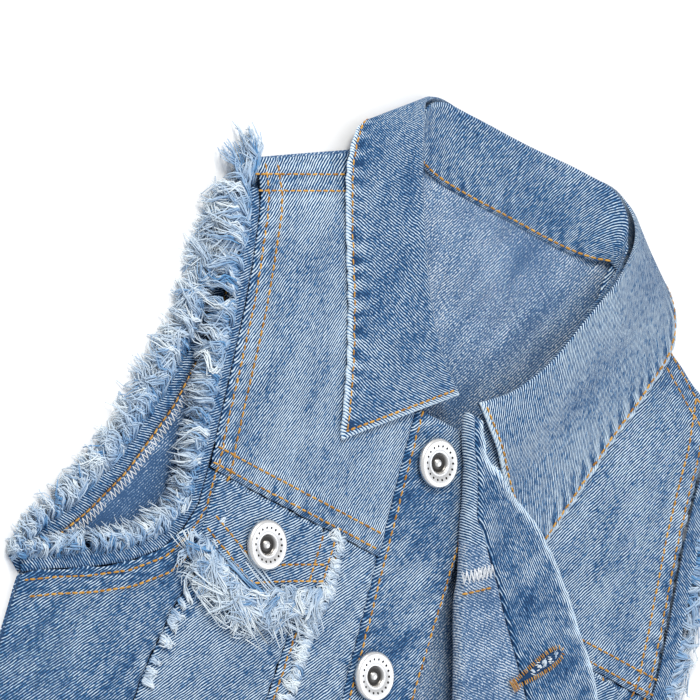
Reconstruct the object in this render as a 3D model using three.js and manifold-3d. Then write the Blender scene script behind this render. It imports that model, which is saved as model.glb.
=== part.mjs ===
// Denim vest laid flat on a surface: back underneath, fronts on top, collar turned down.
// Millimetres, +Z up, +Y towards the neck, +X to the viewer's right, x = 0 on the centre front line.
import * as THREE from 'three';
import Module from 'manifold-3d';

const wasm = await Module();
wasm.setup();

// Cloth thicknesses
const CLOTH = 1.4;
const PLACKET_CLOTH = 2.2;
const GAP = 0.3;

// Main sizes of the garment as it lies
const HALF_WIDTH = 180;
const HALF_HEM = 170;
const HEM_Y = -392;
const WAISTBAND = 42;
const WAIST_SEAM_Y = HEM_Y + WAISTBAND;
const YOKE_Y = -70;
const BACK_YOKE_Y = -20;
const UNDERARM_Y = -141;

// Height of the front layer over the back layer
const FRONT_FLOOR = CLOTH + GAP + 0.1;
const BODY_LOFT = 5.4;
const LOFT_POWER = 6;

// The back collar leaf lies under the top of the back yoke, which rises over it
const BACK_LIFT = CLOTH + 0.5;
const LIFT_START_Y = 36;
const LIFT_END_Y = 54;

// Fringe
const STUB_WIDTH = 8;
const STRAND_ROOT = 1.5;
const STRAND_TIP = 0.6;
const ARMHOLE_STRANDS = 38;
const FLAP_STRANDS = 20;
const LOCK_LEAN = 0.45;
const LOCK_HALF_HEIGHT = 0.5;

// Buttons
const BUTTON_RADIUS = 10;
const BUTTON_HEIGHT = 3;
const BUTTON_PITCH = 90;
const BUTTON_TOP_Y = -25;
const BUTTON_X = -3;
const PLACKET_EDGE_X = 22.5;
const PLACKET_TOP_Y = -8;

const DENIM = { color: 0x7fa4cc, roughness: 0.9, metalness: 0 };
const DENIM_INSIDE = { color: 0x9db3cd, roughness: 0.92, metalness: 0 };
const FRINGE = { color: 0xcfdcea, roughness: 0.95, metalness: 0 };
const METAL = { color: 0xd2d0cc, roughness: 0.3, metalness: 1 };

const garment = new THREE.Group();
garment.name = 'denim_vest';

// Adds one named mesh with its own material.
function addMesh(name, geometry, look) {
  const mesh = new THREE.Mesh(geometry, new THREE.MeshStandardMaterial(look));
  mesh.name = name;
  garment.add(mesh);
  return mesh;
}

// Value between the rows of a table that is sorted on the column key, straight between rows.
function between(rows, key, at, column) {
  const rising = rows[rows.length - 1][key] > rows[0][key];
  const sorted = rising ? rows : [...rows].reverse();
  if (at <= sorted[0][key]) return sorted[0][column];
  for (let i = 1; i < sorted.length; i += 1) {
    const low = sorted[i - 1];
    const high = sorted[i];
    if (at <= high[key]) {
      const share = (at - low[key]) / (high[key] - low[key]);
      return low[column] + share * (high[column] - low[column]);
    }
  }
  return sorted[sorted.length - 1][column];
}

function smooth(low, high, value) {
  const share = Math.min(1, Math.max(0, (value - low) / (high - low)));
  return share * share * (3 - 2 * share);
}

// Stops from 0 to 1: evenly spaced for a number, or the given list itself.
const evenStops = (steps) => Array.from({ length: steps + 1 }, (_, i) => i / steps);
const stopsOf = (steps) => (Array.isArray(steps) ? steps : evenStops(steps));

// A closed wall: a grid of points, thickened by thick along the grid's own normal, or straight down.
// point(u, v) gives the outer face; u runs to the right and v away from it, so that the face looks up.
function wall({ point, under = null, columns, rows, thick = CLOTH, alongNormal = false }) {
  const us = stopsOf(columns);
  const vs = stopsOf(rows);
  const outer = vs.flatMap((v) => us.map((u) => point(u, v)));
  const wide = us.length - 1;
  const deep = vs.length - 1;
  const at = (i, j) => outer[Math.min(Math.max(j, 0), deep) * (wide + 1) + Math.min(Math.max(i, 0), wide)];
  const inner = vs.flatMap((v, j) => us.map((u, i) => {
    if (under) return under(u, v);
    const normal = new THREE.Vector3(0, 0, 1);
    if (alongNormal) {
      const right = at(i + 1, j).clone().sub(at(i - 1, j));
      const ahead = at(i, j + 1).clone().sub(at(i, j - 1));
      normal.crossVectors(right, ahead).normalize();
    }
    const p = at(i, j).clone().addScaledVector(normal, -thick);
    p.z = Math.max(p.z, 0);
    return p;
  }));
  return closedGrid(outer, inner, wide, deep);
}

function closedGrid(outer, inner, columns, rows) {
  const count = outer.length;
  const positions = [];
  [...outer, ...inner].forEach((p) => positions.push(p.x, p.y, p.z));
  const index = [];
  const id = (i, j) => j * (columns + 1) + i;
  for (let j = 0; j < rows; j += 1) {
    for (let i = 0; i < columns; i += 1) {
      const corners = [id(i, j), id(i + 1, j), id(i + 1, j + 1), id(i, j + 1)];
      index.push(corners[0], corners[1], corners[2], corners[0], corners[2], corners[3]);
      const low = corners.map((k) => k + count);
      index.push(low[0], low[2], low[1], low[0], low[3], low[2]);
    }
  }
  const rim = [];
  for (let i = 0; i < columns; i += 1) rim.push([id(i, 0), id(i + 1, 0)]);
  for (let j = 0; j < rows; j += 1) rim.push([id(columns, j), id(columns, j + 1)]);
  for (let i = columns; i > 0; i -= 1) rim.push([id(i, rows), id(i - 1, rows)]);
  for (let j = rows; j > 0; j -= 1) rim.push([id(0, j), id(0, j - 1)]);
  rim.forEach(([a, b]) => index.push(a, a + count, b + count, a, b + count, b));
  const geometry = new THREE.BufferGeometry();
  geometry.setAttribute('position', new THREE.Float32BufferAttribute(positions, 3));
  geometry.setIndex(index);
  return geometry;
}

// Soft troughs and ridges of the front layer: a row for each fold, from one end to the other.
const FRONT_FOLDS = [
  { x0: -100, y0: 60, x1: -78, y1: -50, width: 16, height: 1.4 },
  { x0: -170, y0: -175, x1: -95, y1: -235, width: 18, height: 1.6 },
  { x0: -75, y0: -215, x1: -40, y1: -330, width: 17, height: 1.3 },
  { x0: 110, y0: 40, x1: 95, y1: -45, width: 15, height: 1.2 },
  { x0: 172, y0: -190, x1: 158, y1: -300, width: 14, height: 1.5 },
];

function foldHeight(x, y) {
  return FRONT_FOLDS.reduce((sum, fold) => {
    const dx = fold.x1 - fold.x0;
    const dy = fold.y1 - fold.y0;
    const length = Math.hypot(dx, dy);
    const along = ((x - fold.x0) * dx + (y - fold.y0) * dy) / length;
    const across = ((x - fold.x0) * dy - (y - fold.y0) * dx) / length;
    const fade = smooth(0, 0.25 * length, along) * (1 - smooth(0.75 * length, length, along));
    return sum + fold.height * fade * Math.exp(-((across / fold.width) ** 2));
  }, 0);
}

// Half width of the body at a height y, from the underarm to the hem.
const halfWidth = (y) => HALF_WIDTH + ((HALF_HEM - HALF_WIDTH) * smooth(UNDERARM_Y, HEM_Y, y));

// Shoulder fold: the highest y of the body at an x, from the neck point out to the arm.
const NECK_POINT_X = 58;
const NECK_POINT_Y = 88;
const SHOULDER_TIP_X = 129;
const SHOULDER_SLOPE = 0.49;
const SHOULDER_GAP = 0.4;
const shoulderY = (x) => NECK_POINT_Y - SHOULDER_SLOPE * (Math.abs(x) - NECK_POINT_X);

// Outer face of the back layer and of the front layer.
const backTop = (x, y) => CLOTH + BACK_LIFT * smooth(LIFT_START_Y, LIFT_END_Y, y)
  * (1 - smooth(84, 100, Math.abs(x)));

function frontTop(x, y) {
  const side = 1 - (Math.min(1, Math.abs(x) / HALF_WIDTH) ** LOFT_POWER);
  const shoulder = smooth(0, 26, shoulderY(x) - y);
  const loft = side * (y > UNDERARM_Y ? shoulder : 1);
  const rise = BACK_LIFT * smooth(LIFT_START_Y, LIFT_END_Y, y) * (1 - smooth(84, 100, Math.abs(x)));
  return FRONT_FLOOR + CLOTH + rise * (1 - shoulder) + (BODY_LOFT + foldHeight(x, y)) * loft;
}

// A panel between two edges that are given as tables of x against y.
function panel(name, { inner, outer, low, high, columns, rows, top, thick = CLOTH, look = DENIM, lift = 0 }) {
  const point = (u, v) => {
    const y = low + (high - low) * v;
    const x0 = inner(y);
    const x = x0 + (outer(y) - x0) * u;
    return new THREE.Vector3(x, y, top(x, y) + lift);
  };
  return addMesh(name, wall({ point, columns, rows, thick }), look);
}

// Armhole seams, a row for each place: the front layer's, and the back layer's.
const FRONT_ARMHOLE = [
  { y: 52, x: 128 }, { y: 42, x: 125 }, { y: 27, x: 122 }, { y: 12, x: 119 }, { y: -4, x: 116.6 },
  { y: -19, x: 115 }, { y: -40, x: 113 }, { y: -61, x: 111 },
  { y: -85, x: 110 }, { y: -97, x: 114 }, { y: -108, x: 121 }, { y: -119, x: 135 }, { y: -128, x: 152 },
  { y: -135, x: 168 }, { y: UNDERARM_Y, x: HALF_WIDTH },
];
const BACK_ARMHOLE = [
  { y: 52, x: 128 }, { y: 34, x: 124 }, { y: 15, x: 122 }, { y: -2, x: 122.6 }, { y: -20, x: 124 },
  { y: -52, x: 131 }, { y: -85, x: 144 },
  { y: -107, x: 157 }, { y: -126, x: 171 }, { y: UNDERARM_Y, x: HALF_WIDTH },
];
// How far the right front is drawn outwards by being turned back, at its armhole and at its V seam.
const RIGHT_DRAW = [
  { y: 52, draw: 2 }, { y: 34, draw: 7 }, { y: -4, draw: 16 }, { y: -58, draw: 29 }, { y: -97, draw: 28 },
  { y: -108, draw: 25 }, { y: -119, draw: 18 }, { y: -128, draw: 10 }, { y: -135, draw: 4 },
  { y: UNDERARM_Y, draw: 0 },
];
const RIGHT_SEAM_DRAW = 16;
const drawAt = (y) => between(RIGHT_DRAW, 'y', y, 'draw');
const FRONT_ARMHOLE_RIGHT = FRONT_ARMHOLE.map(({ y, x }) => ({ y, x: x + drawAt(y) }));

function frontSide(side, y) {
  if (y <= UNDERARM_Y) return side * halfWidth(y);
  return side * between(side < 0 ? FRONT_ARMHOLE : FRONT_ARMHOLE_RIGHT, 'y', y, 'x');
}
const backSide = (y) => (y > UNDERARM_Y ? between(BACK_ARMHOLE, 'y', y, 'x') : halfWidth(y));

// Row stops of a panel between low and high that has a row at each place of an armhole's table.
function armholeStops(table, low, high, sideRows) {
  const body = stopsOf(sideRows).map((t) => low + (UNDERARM_Y - low) * t).filter((y) => y < high);
  const least = Math.max(low, UNDERARM_Y) + 1;
  const places = table.map((row) => row.y).filter((y) => y > least && y < high - 1).reverse();
  const start = low < UNDERARM_Y ? body : [low];
  return [...start, ...places, high].map((y) => (y - low) / (high - low));
}

// Row stops that the panels of a front share, so that both sides of a seam follow the same line.
function frontStops(table, count) {
  const low = WAIST_SEAM_Y + GAP;
  const even = stopsOf(count).map((t) => low + (YOKE_Y - low) * t);
  const places = [...table, ...V_SEAM_OUTER, ...PLACKET_INNER].map((row) => row.y);
  const apart = places.filter((y) => y > low + 1 && y < YOKE_Y - 1);
  even.filter((y) => apart.every((place) => Math.abs(place - y) > 2)).forEach((y) => apart.push(y));
  return apart.sort((a, b) => a - b).map((y) => (y - low) / (YOKE_Y - low));
}

// Neck edge of the fronts: how far from the centre line the cloth begins.
const FRONT_NECK = [
  { y: 88, x: 59 }, { y: 60, x: 53 }, { y: 30, x: 39 }, { y: 8, x: 22 }, { y: -2, x: 6 },
];
const NECK_END_Y = -2;

// The V seams below the yoke, as distances from the centre line.
const V_SEAM_OUTER = [
  { y: YOKE_Y, x: 98.6 }, { y: -109, x: 101 }, { y: -128, x: 107 }, { y: -157, x: 112 },
  { y: WAIST_SEAM_Y, x: 118 },
];
const V_SEAM_INNER = [{ y: YOKE_Y, x: 46 }, { y: WAIST_SEAM_Y, x: 58 }];

// Inner edge of the left placket, which leans a little.
const PLACKET_INNER = [{ y: PLACKET_TOP_Y, x: -19 }, { y: -130, x: -12.5 }, { y: HEM_Y, x: -12.5 }];
const placketInner = (y) => between(PLACKET_INNER, 'y', y, 'x');

// Fold line and free edge of the right front, which is turned back over itself.
const TURN_BACK = [
  { y: -2, fold: 1, edge: 9, edgeY: -3 },
  { y: -12, fold: 4.5, edge: 17, edgeY: -16 },
  { y: -22, fold: 9.5, edge: 33, edgeY: -21.5 },
  { y: -33, fold: 13, edge: 52, edgeY: -28 },
  { y: -43, fold: 15.5, edge: 66, edgeY: -36.5 },
  { y: -61, fold: 22, edge: 84, edgeY: -53 },
  { y: -84, fold: 31, edge: 102, edgeY: -74.5 },
  { y: -106, fold: 40, edge: 119, edgeY: -98 },
  { y: -150, fold: 55, edge: 138, edgeY: -143 },
  { y: -210, fold: 62, edge: 146, edgeY: -207 },
  { y: -350, fold: 64, edge: 147, edgeY: -350 },
  { y: HEM_Y, fold: 62, edge: 145, edgeY: HEM_Y },
];
const foldLine = (y) => between(TURN_BACK, 'y', y, 'fold');
const FACING_WIDTH = 42;
const LEAST_FACING_START = 0.06;
const TURN_CLEAR = 3.4;
const ROLL_OUTER = TURN_CLEAR / 2 + CLOTH;
const FOLD_SEAM_GAP = 0.6;

// The right front passes over the end of the left placket below the neck.
const OVER_PLACKET = PLACKET_CLOTH + 0.5;
const overPlacket = (x, y) => OVER_PLACKET * (1 - smooth(24, 41, x)) * smooth(-74, -61, y);
const rightTop = (x, y) => frontTop(x, y) + overPlacket(x, y);

function buildBack() {
  // The yoke runs up to the shoulder folds and dips to the neck seam between them.
  const neckSeamY = 79.7;
  const yokeTop = (x) => {
    const dip = 1 - smooth(NECK_POINT_X - 8, NECK_POINT_X, Math.abs(x));
    return Math.min(shoulderY(Math.max(Math.abs(x), NECK_POINT_X)), NECK_POINT_Y)
      - (NECK_POINT_Y - neckSeamY) * dip;
  };
  const halfStops = [0, 26, 46, 52, 58, 76, 88, 104, 120, 128];
  const stops = [...halfStops.slice(1).reverse().map((x) => -x), ...halfStops];
  const yokeHalf = halfStops[halfStops.length - 1];
  const point = (u, v) => {
    const stop = stops[Math.round(u * (stops.length - 1))];
    const y = BACK_YOKE_Y + GAP + (yokeTop(stop) - BACK_YOKE_Y - GAP) * v;
    const x = (stop / yokeHalf) * between(BACK_ARMHOLE, 'y', y, 'x');
    return new THREE.Vector3(x, y, backTop(x, y));
  };
  const yokeRows = armholeStops(BACK_ARMHOLE, BACK_YOKE_Y + GAP, yokeTop(yokeHalf), 1);
  addMesh('back_yoke', wall({ point, columns: stops.length - 1, rows: [...yokeRows, 0.88].sort() }), DENIM);

  const seamX = (y) => 46 + 26 * ((y - WAIST_SEAM_Y) / (BACK_YOKE_Y - WAIST_SEAM_Y));
  panel('back_centre', {
    inner: (y) => -seamX(y), outer: seamX, low: WAIST_SEAM_Y + GAP, high: BACK_YOKE_Y,
    columns: 6, rows: 8, top: backTop,
  });
  panel('back_side_left', {
    inner: (y) => -backSide(y), outer: (y) => -seamX(y) - GAP, low: WAIST_SEAM_Y + GAP, high: BACK_YOKE_Y,
    columns: 5, rows: armholeStops(BACK_ARMHOLE, WAIST_SEAM_Y + GAP, BACK_YOKE_Y, 7), top: backTop,
  });
  panel('back_side_right', {
    inner: (y) => seamX(y) + GAP, outer: backSide, low: WAIST_SEAM_Y + GAP, high: BACK_YOKE_Y,
    columns: 5, rows: armholeStops(BACK_ARMHOLE, WAIST_SEAM_Y + GAP, BACK_YOKE_Y, 7), top: backTop,
  });
  panel('back_waistband', {
    inner: (y) => -halfWidth(y), outer: halfWidth, low: HEM_Y, high: WAIST_SEAM_Y,
    columns: 12, rows: 2, top: backTop,
  });
}

// Front yoke: from the yoke seam up to the shoulder fold, between the neck edge and the armhole.
function buildFrontYoke(side, name, centreEdge, top) {
  const point = (u, v) => {
    const share = side < 0 ? 1 - u : u;
    const lowY = YOKE_Y + GAP;
    const topAt = (x) => shoulderY(Math.min(Math.max(x, NECK_POINT_X), SHOULDER_TIP_X)) - SHOULDER_GAP;
    const tipX = NECK_POINT_X + 1 + (SHOULDER_TIP_X - NECK_POINT_X - 1) * share;
    const y = lowY + (topAt(tipX) - lowY) * v;
    const seamX = Math.max(centreEdge(NECK_END_Y), between(FRONT_NECK, 'y', y, 'x'));
    const neckX = y < NECK_END_Y ? centreEdge(y) : seamX;
    const armX = Math.abs(frontSide(side, y));
    const x = side * (neckX + (armX - neckX) * share);
    return new THREE.Vector3(x, y, top(x, y));
  };
  const high = shoulderY(SHOULDER_TIP_X) - SHOULDER_GAP;
  const rows = armholeStops(FRONT_ARMHOLE, YOKE_Y + GAP, high, 1);
  addMesh(name, wall({ point, columns: 8, rows: [...rows, 0.95].sort() }), DENIM);
}

function buildLeftFront() {
  const placketSeam = (y) => placketInner(y) - GAP;
  const rows = frontStops(FRONT_ARMHOLE, 12);
  const belowYoke = (YOKE_Y - WAIST_SEAM_Y - GAP) / (PLACKET_TOP_Y - WAIST_SEAM_Y - GAP);
  const placketRows = [
    ...rows.slice(0, -1).map((t) => t * belowYoke), ...stopsOf(3).map((t) => belowYoke + (1 - belowYoke) * t),
  ];
  buildFrontYoke(-1, 'front_yoke_left', (y) => -placketSeam(y), frontTop);
  panel('front_side_left', {
    inner: (y) => frontSide(-1, y), outer: (y) => -between(V_SEAM_OUTER, 'y', y, 'x') - GAP,
    low: WAIST_SEAM_Y + GAP, high: YOKE_Y, columns: 5, rows, top: frontTop,
  });
  panel('front_middle_left', {
    inner: (y) => -between(V_SEAM_OUTER, 'y', y, 'x'),
    outer: (y) => -between(V_SEAM_INNER, 'y', y, 'x') - GAP,
    low: WAIST_SEAM_Y + GAP, high: YOKE_Y, columns: 4, rows, top: frontTop,
  });
  panel('front_centre_left', {
    inner: (y) => -between(V_SEAM_INNER, 'y', y, 'x'), outer: placketSeam,
    low: WAIST_SEAM_Y + GAP, high: YOKE_Y, columns: 3, rows, top: frontTop,
  });
  panel('placket_left', {
    inner: placketInner, outer: () => PLACKET_EDGE_X, low: WAIST_SEAM_Y + GAP, high: PLACKET_TOP_Y,
    columns: 3, rows: placketRows,
    top: frontTop, thick: PLACKET_CLOTH, lift: PLACKET_CLOTH - CLOTH,
  });
  panel('waistband_left', {
    inner: (y) => -halfWidth(y), outer: () => PLACKET_EDGE_X, low: HEM_Y, high: WAIST_SEAM_Y,
    columns: 10, rows: 2, top: frontTop, thick: PLACKET_CLOTH, lift: PLACKET_CLOTH - CLOTH,
  });
}

function buildRightFront() {
  const innerEdge = (y) => foldLine(y) + ROLL_OUTER + FOLD_SEAM_GAP;
  const rightSeam = (y) => between(V_SEAM_OUTER, 'y', y, 'x') + RIGHT_SEAM_DRAW;
  const rows = frontStops(FRONT_ARMHOLE_RIGHT, 24);
  buildFrontYoke(1, 'front_yoke_right', innerEdge, rightTop);
  panel('front_side_right', {
    inner: (y) => rightSeam(y) + GAP, outer: (y) => frontSide(1, y),
    low: WAIST_SEAM_Y + GAP, high: YOKE_Y, columns: 5, rows, top: frontTop,
  });
  panel('front_middle_right', {
    inner: innerEdge, outer: rightSeam,
    low: WAIST_SEAM_Y + GAP, high: YOKE_Y, columns: 4, rows, top: frontTop,
  });
  panel('waistband_right', {
    inner: innerEdge, outer: halfWidth, low: HEM_Y, high: WAIST_SEAM_Y,
    columns: 8, rows: 2, top: frontTop, thick: CLOTH,
  });
}


// Clearance under the turned-back front: more over the button of the pocket flap below it.
const FLAP_CENTRE_X = 75;
const FLAP_DRAW = RIGHT_SEAM_DRAW;
const FLAP_BUTTON_Y = -88;
const BUTTON_BUMP = 3.2;
function turnClear(x, y, share) {
  const away = Math.hypot(x - FLAP_CENTRE_X - FLAP_DRAW, y - FLAP_BUTTON_Y);
  return TURN_CLEAR - 0.5 * share + BUTTON_BUMP * (1 - smooth(11, 38, away));
}

// The right front turned back: it rolls round the fold line and lies over the front, wrong side up.
function buildTurnBack() {
  const rollSteps = 4;
  const flatSteps = 6;
  const rowAt = (v) => {
    const y = TURN_BACK[0].y + (HEM_Y - TURN_BACK[0].y) * v;
    return {
      y,
      fold: foldLine(y),
      edge: between(TURN_BACK, 'y', y, 'edge'),
      edgeY: between(TURN_BACK, 'y', y, 'edgeY'),
    };
  };
  // A place on the flat stretch: share 0 where the roll ends and 1 at the free edge.
  const flat = (row, share, thickness) => {
    const x = row.fold + ROLL_OUTER + (row.edge - row.fold - ROLL_OUTER) * share;
    const y = row.y + (row.edgeY - row.y) * share;
    return new THREE.Vector3(x, y, rightTop(x, y) + turnClear(x, y, share) + thickness);
  };
  const facingShare = (row) => {
    const length = Math.hypot(row.edge - row.fold - ROLL_OUTER, row.edgeY - row.y);
    return Math.max(LEAST_FACING_START, 1 - FACING_WIDTH / length);
  };
  const place = (u, v, radius, thickness) => {
    const row = rowAt(1 - v);
    const step = u * (rollSteps + flatSteps);
    if (step < rollSteps) {
      const angle = (Math.PI * step) / rollSteps;
      const centreX = row.fold + ROLL_OUTER;
      const low = rightTop(centreX, row.y);
      const centreZ = low + TURN_CLEAR / 2;
      return new THREE.Vector3(centreX - radius * Math.sin(angle), row.y, centreZ - radius * Math.cos(angle));
    }
    return flat(row, (facingShare(row) * (step - rollSteps)) / flatSteps, thickness);
  };
  addMesh('front_turned_right', wall({
    point: (u, v) => place(u, v, ROLL_OUTER, CLOTH), under: (u, v) => place(u, v, TURN_CLEAR / 2, 0),
    columns: rollSteps + flatSteps, rows: 26,
  }), DENIM_INSIDE);
  const facing = (u, v, thickness) => {
    const row = rowAt(1 - v);
    const start = facingShare(row) + GAP / Math.max(8, row.edge - row.fold);
    return flat(row, start + (1 - start) * u, thickness);
  };
  addMesh('facing_right', wall({
    point: (u, v) => facing(u, v, PLACKET_CLOTH), under: (u, v) => facing(u, v, 0), columns: 3, rows: 26,
  }), DENIM);
}

// Collar, a row for each station from the left front end to the middle of the back.
// roll is where the collar folds, edge is the leaf's outer edge, seam is where the stand meets the neck.
const LEAF_CLOTH = 1.6;
const COLLAR = [
  { rollX: -3, rollY: 4, leafZ: 12.4, standZ: 9.2, spread: 0, edgeX: -53, edgeY: -35, edgeZ: 10.8,
    seamX: -9, seamY: 0.5, seamZ: 9.0, draw: 7, drawY: -7, over: 1 },
  { rollX: -17, rollY: 15, leafZ: 12.7, standZ: 9.4, spread: 0, edgeX: -57.5, edgeY: -18, edgeZ: 10.8,
    seamX: -26, seamY: 9, seamZ: 9.0, draw: 9, drawY: -5, over: 1 },
  { rollX: -31, rollY: 33, leafZ: 12.9, standZ: 9.4, spread: 0, edgeX: -63, edgeY: 0, edgeZ: 10.9,
    seamX: -41, seamY: 27, seamZ: 9.1, draw: 11, drawY: -3, over: 1 },
  { rollX: -44, rollY: 57, leafZ: 13, standZ: 9.4, spread: 0.1, edgeX: -71, edgeY: 20, edgeZ: 11,
    seamX: -53, seamY: 52, seamZ: 9.1, draw: 10, drawY: -2, over: 1 },
  { rollX: -54, rollY: 80, leafZ: 13, standZ: 9.4, spread: 0.5, edgeX: -81, edgeY: 42, edgeZ: 11.2,
    seamX: -59, seamY: 74, seamZ: 9.2, draw: 9, drawY: -2, over: 1 },
  { rollX: -58, rollY: 96, leafZ: 11.4, standZ: 8.6, spread: 0.9, edgeX: -90, edgeY: 67, edgeZ: 11,
    seamX: -55, seamY: 84, seamZ: 7, draw: 7, drawY: 0, over: 0.6 },
  { rollX: -57.5, rollY: 106, leafZ: 7.4, standZ: 7.2, spread: 1, edgeX: -86, edgeY: 86, edgeZ: 5.4,
    seamX: -48, seamY: 82.5, seamZ: 5, draw: 4, drawY: 0, over: 0 },
  { rollX: -50, rollY: 110.5, leafZ: 3.2, standZ: 5.8, spread: 0.7, edgeX: -72, edgeY: 86, edgeZ: 0.3,
    seamX: -40, seamY: 81, seamZ: 3.9, draw: 2, drawY: 2, over: 0 },
  { rollX: -32, rollY: 111, leafZ: 1.3, standZ: 4.8, spread: 0, edgeX: -42, edgeY: 67, edgeZ: 0,
    seamX: -28, seamY: 80.2, seamZ: 3.5, draw: 0, drawY: 2, over: 0 },
  { rollX: 0, rollY: 111.5, leafZ: 1.2, standZ: 4.7, spread: 0, edgeX: 0, edgeY: 64, edgeZ: 0,
    seamX: 0, seamY: 80.2, seamZ: 3.4, draw: 0, drawY: 1, over: 0 },
];
const COLLAR_STATIONS = 38;
const LEAF_ROWS = 5;
const RIGHT_LEAF_RISE = 0.8;
const RIGHT_STAND_RISE = 0.3;

// The whole collar's rows: the left ones, then the right ones mirrored and drawn outwards.
function collarRows() {
  const right = COLLAR.slice(0, -1).reverse().map((row) => ({
    ...row,
    rollX: -row.rollX + row.draw * 0.35,
    rollY: row.rollY + Math.max(0, row.drawY),
    seamX: -row.seamX + row.draw * 0.35,
    edgeX: -row.edgeX + row.draw,
    edgeY: row.edgeY + row.drawY,
    leafZ: row.leafZ + row.over * (RIGHT_LEAF_RISE + overPlacket(-row.rollX, row.rollY)),
    standZ: row.standZ + row.over * (RIGHT_STAND_RISE + overPlacket(-row.rollX, row.rollY)),
    seamZ: row.seamZ + row.over * (RIGHT_STAND_RISE + overPlacket(-row.seamX, row.seamY)),
  }));
  return [...COLLAR, ...right];
}

// A smooth curve through one column of the rows, in x, y and z.
function curveOf(rows, pick) {
  return new THREE.CatmullRomCurve3(rows.map(pick), false, 'centripetal');
}

function buildCollar() {
  const rows = collarRows();
  const out = rows.map((row) => {
    const away = new THREE.Vector2(row.edgeX - row.rollX, row.edgeY - row.rollY).normalize();
    const corner = Math.abs(row.rollX) > 40 && row.rollY > 90;
    return corner ? new THREE.Vector2(Math.sign(row.rollX) * 0.75, 0.66) : away;
  });
  const leafRoll = curveOf(rows, (r, i) => new THREE.Vector3(
    r.rollX + out[i].x * 2 * r.spread, r.rollY + out[i].y * 2 * r.spread, r.leafZ));
  const standRoll = curveOf(rows, (r, i) => new THREE.Vector3(
    r.rollX - out[i].x * 1.8 * r.spread, r.rollY - out[i].y * 1.8 * r.spread, r.standZ));
  const edge = curveOf(rows, (r) => new THREE.Vector3(r.edgeX, r.edgeY, r.edgeZ));
  const seam = curveOf(rows, (r) => new THREE.Vector3(r.seamX, r.seamY, r.seamZ));
  const over = curveOf(rows, (r, i) => new THREE.Vector3(i, r.over, 0));
  const leafPoint = (u, v) => {
    const from = leafRoll.getPoint(u);
    const to = edge.getPoint(u);
    const front = Math.min(1, Math.max(0, over.getPoint(u).y));
    const p = from.clone().lerp(to, v);
    // On the right the leaf falls sooner, to lie flat under the turned-back front.
    const fall = p.x > 0 ? 1 - smooth(0.24, 0.6, v) : 1 - v ** 1.6;
    const held = front * fall + (1 - front) * (1 - v) ** 2.8;
    p.z = Math.max(0, to.z + (from.z - to.z) * held);
    const body = (p.x > 0 ? rightTop(p.x, p.y) : frontTop(p.x, p.y)) + LEAF_CLOTH + 0.6;
    if (front > 0.5 && p.y < shoulderY(p.x)) p.z = Math.max(p.z, body);
    return p;
  };
  addMesh('collar_leaf', wall({
    point: leafPoint, columns: COLLAR_STATIONS, rows: LEAF_ROWS, thick: LEAF_CLOTH, alongNormal: true,
  }), DENIM);
  const standPoint = (u, v) => seam.getPoint(u).lerp(standRoll.getPoint(u), v);
  addMesh('collar_stand', wall({
    point: standPoint, columns: COLLAR_STATIONS, rows: 2, thick: CLOTH, alongNormal: true,
  }), DENIM);
}


// Small seeded number maker, so that the fringe is uneven in the same way each time.
function seeded(seed) {
  let state = seed;
  return () => {
    state = (state * 1664525 + 1013904223) % 4294967296;
    return state / 4294967296;
  };
}

// One lock of threads: a flat three-sided spike through three places, closed at both ends.
function lock(places, halfWidths, halfHeight) {
  const positions = [];
  places.forEach((place, i) => {
    const ahead = places[Math.min(i + 1, 2)].clone().sub(places[Math.max(i - 1, 0)]);
    const across = new THREE.Vector3(-ahead.y, ahead.x, 0).normalize().multiplyScalar(halfWidths[i]);
    const height = halfHeight * (i === 2 ? 0.7 : 1);
    const corners = [across.clone(), new THREE.Vector3(0, 0, height), across.clone().negate()];
    corners[0].z = -height;
    corners[2].z = -height;
    corners.forEach((corner) => positions.push(...place.clone().add(corner).toArray()));
  });
  const index = [0, 1, 2, 8, 7, 6];
  for (let ring = 0; ring < 2; ring += 1) {
    for (let k = 0; k < 3; k += 1) {
      const a = ring * 3 + k;
      const b = ring * 3 + ((k + 1) % 3);
      index.push(a, a + 3, b + 3, a, b + 3, b);
    }
  }
  return solidOf(positions, index);
}

function solidOf(positions, index) {
  const solid = new wasm.Manifold(new wasm.Mesh({
    numProp: 3, vertProperties: new Float32Array(positions), triVerts: new Uint32Array(index),
  }));
  if (solid.volume() > 0) return solid;
  const flipped = [];
  for (let i = 0; i < index.length; i += 3) flipped.push(index[i], index[i + 2], index[i + 1]);
  return new wasm.Manifold(new wasm.Mesh({
    numProp: 3, vertProperties: new Float32Array(positions), triVerts: new Uint32Array(flipped),
  }));
}

function geometryOf(solid) {
  const mesh = solid.getMesh();
  const geometry = new THREE.BufferGeometry();
  geometry.setAttribute('position', new THREE.Float32BufferAttribute(Array.from(mesh.vertProperties), 3));
  geometry.setIndex(Array.from(mesh.triVerts));
  return geometry;
}

// Straight runs through a list of places, cut so that no step is longer than STRIP_STEP.
const STRIP_STEP = 16;
function seamLine(places) {
  const points = [places[0].clone()];
  for (let i = 1; i < places.length; i += 1) {
    const pieces = Math.max(1, Math.round(places[i].distanceTo(places[i - 1]) / STRIP_STEP));
    for (let k = 1; k <= pieces; k += 1) points.push(places[i - 1].clone().lerp(places[i], k / pieces));
  }
  // The way out of the cloth at each point, square to the seam and longer at a bend.
  const outwards = points.map((p, i) => {
    const before = p.clone().sub(points[Math.max(i - 1, 0)]).setZ(0).normalize();
    const after = points[Math.min(i + 1, points.length - 1)].clone().sub(p).setZ(0).normalize();
    const first = new THREE.Vector3(before.y, -before.x, 0);
    const second = new THREE.Vector3(after.y, -after.x, 0);
    if (first.length() === 0) return second;
    if (second.length() === 0) return first;
    const middle = first.clone().add(second).normalize();
    return middle.divideScalar(Math.max(0.5, middle.dot(second)));
  });
  return { points, outwards };
}

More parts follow.
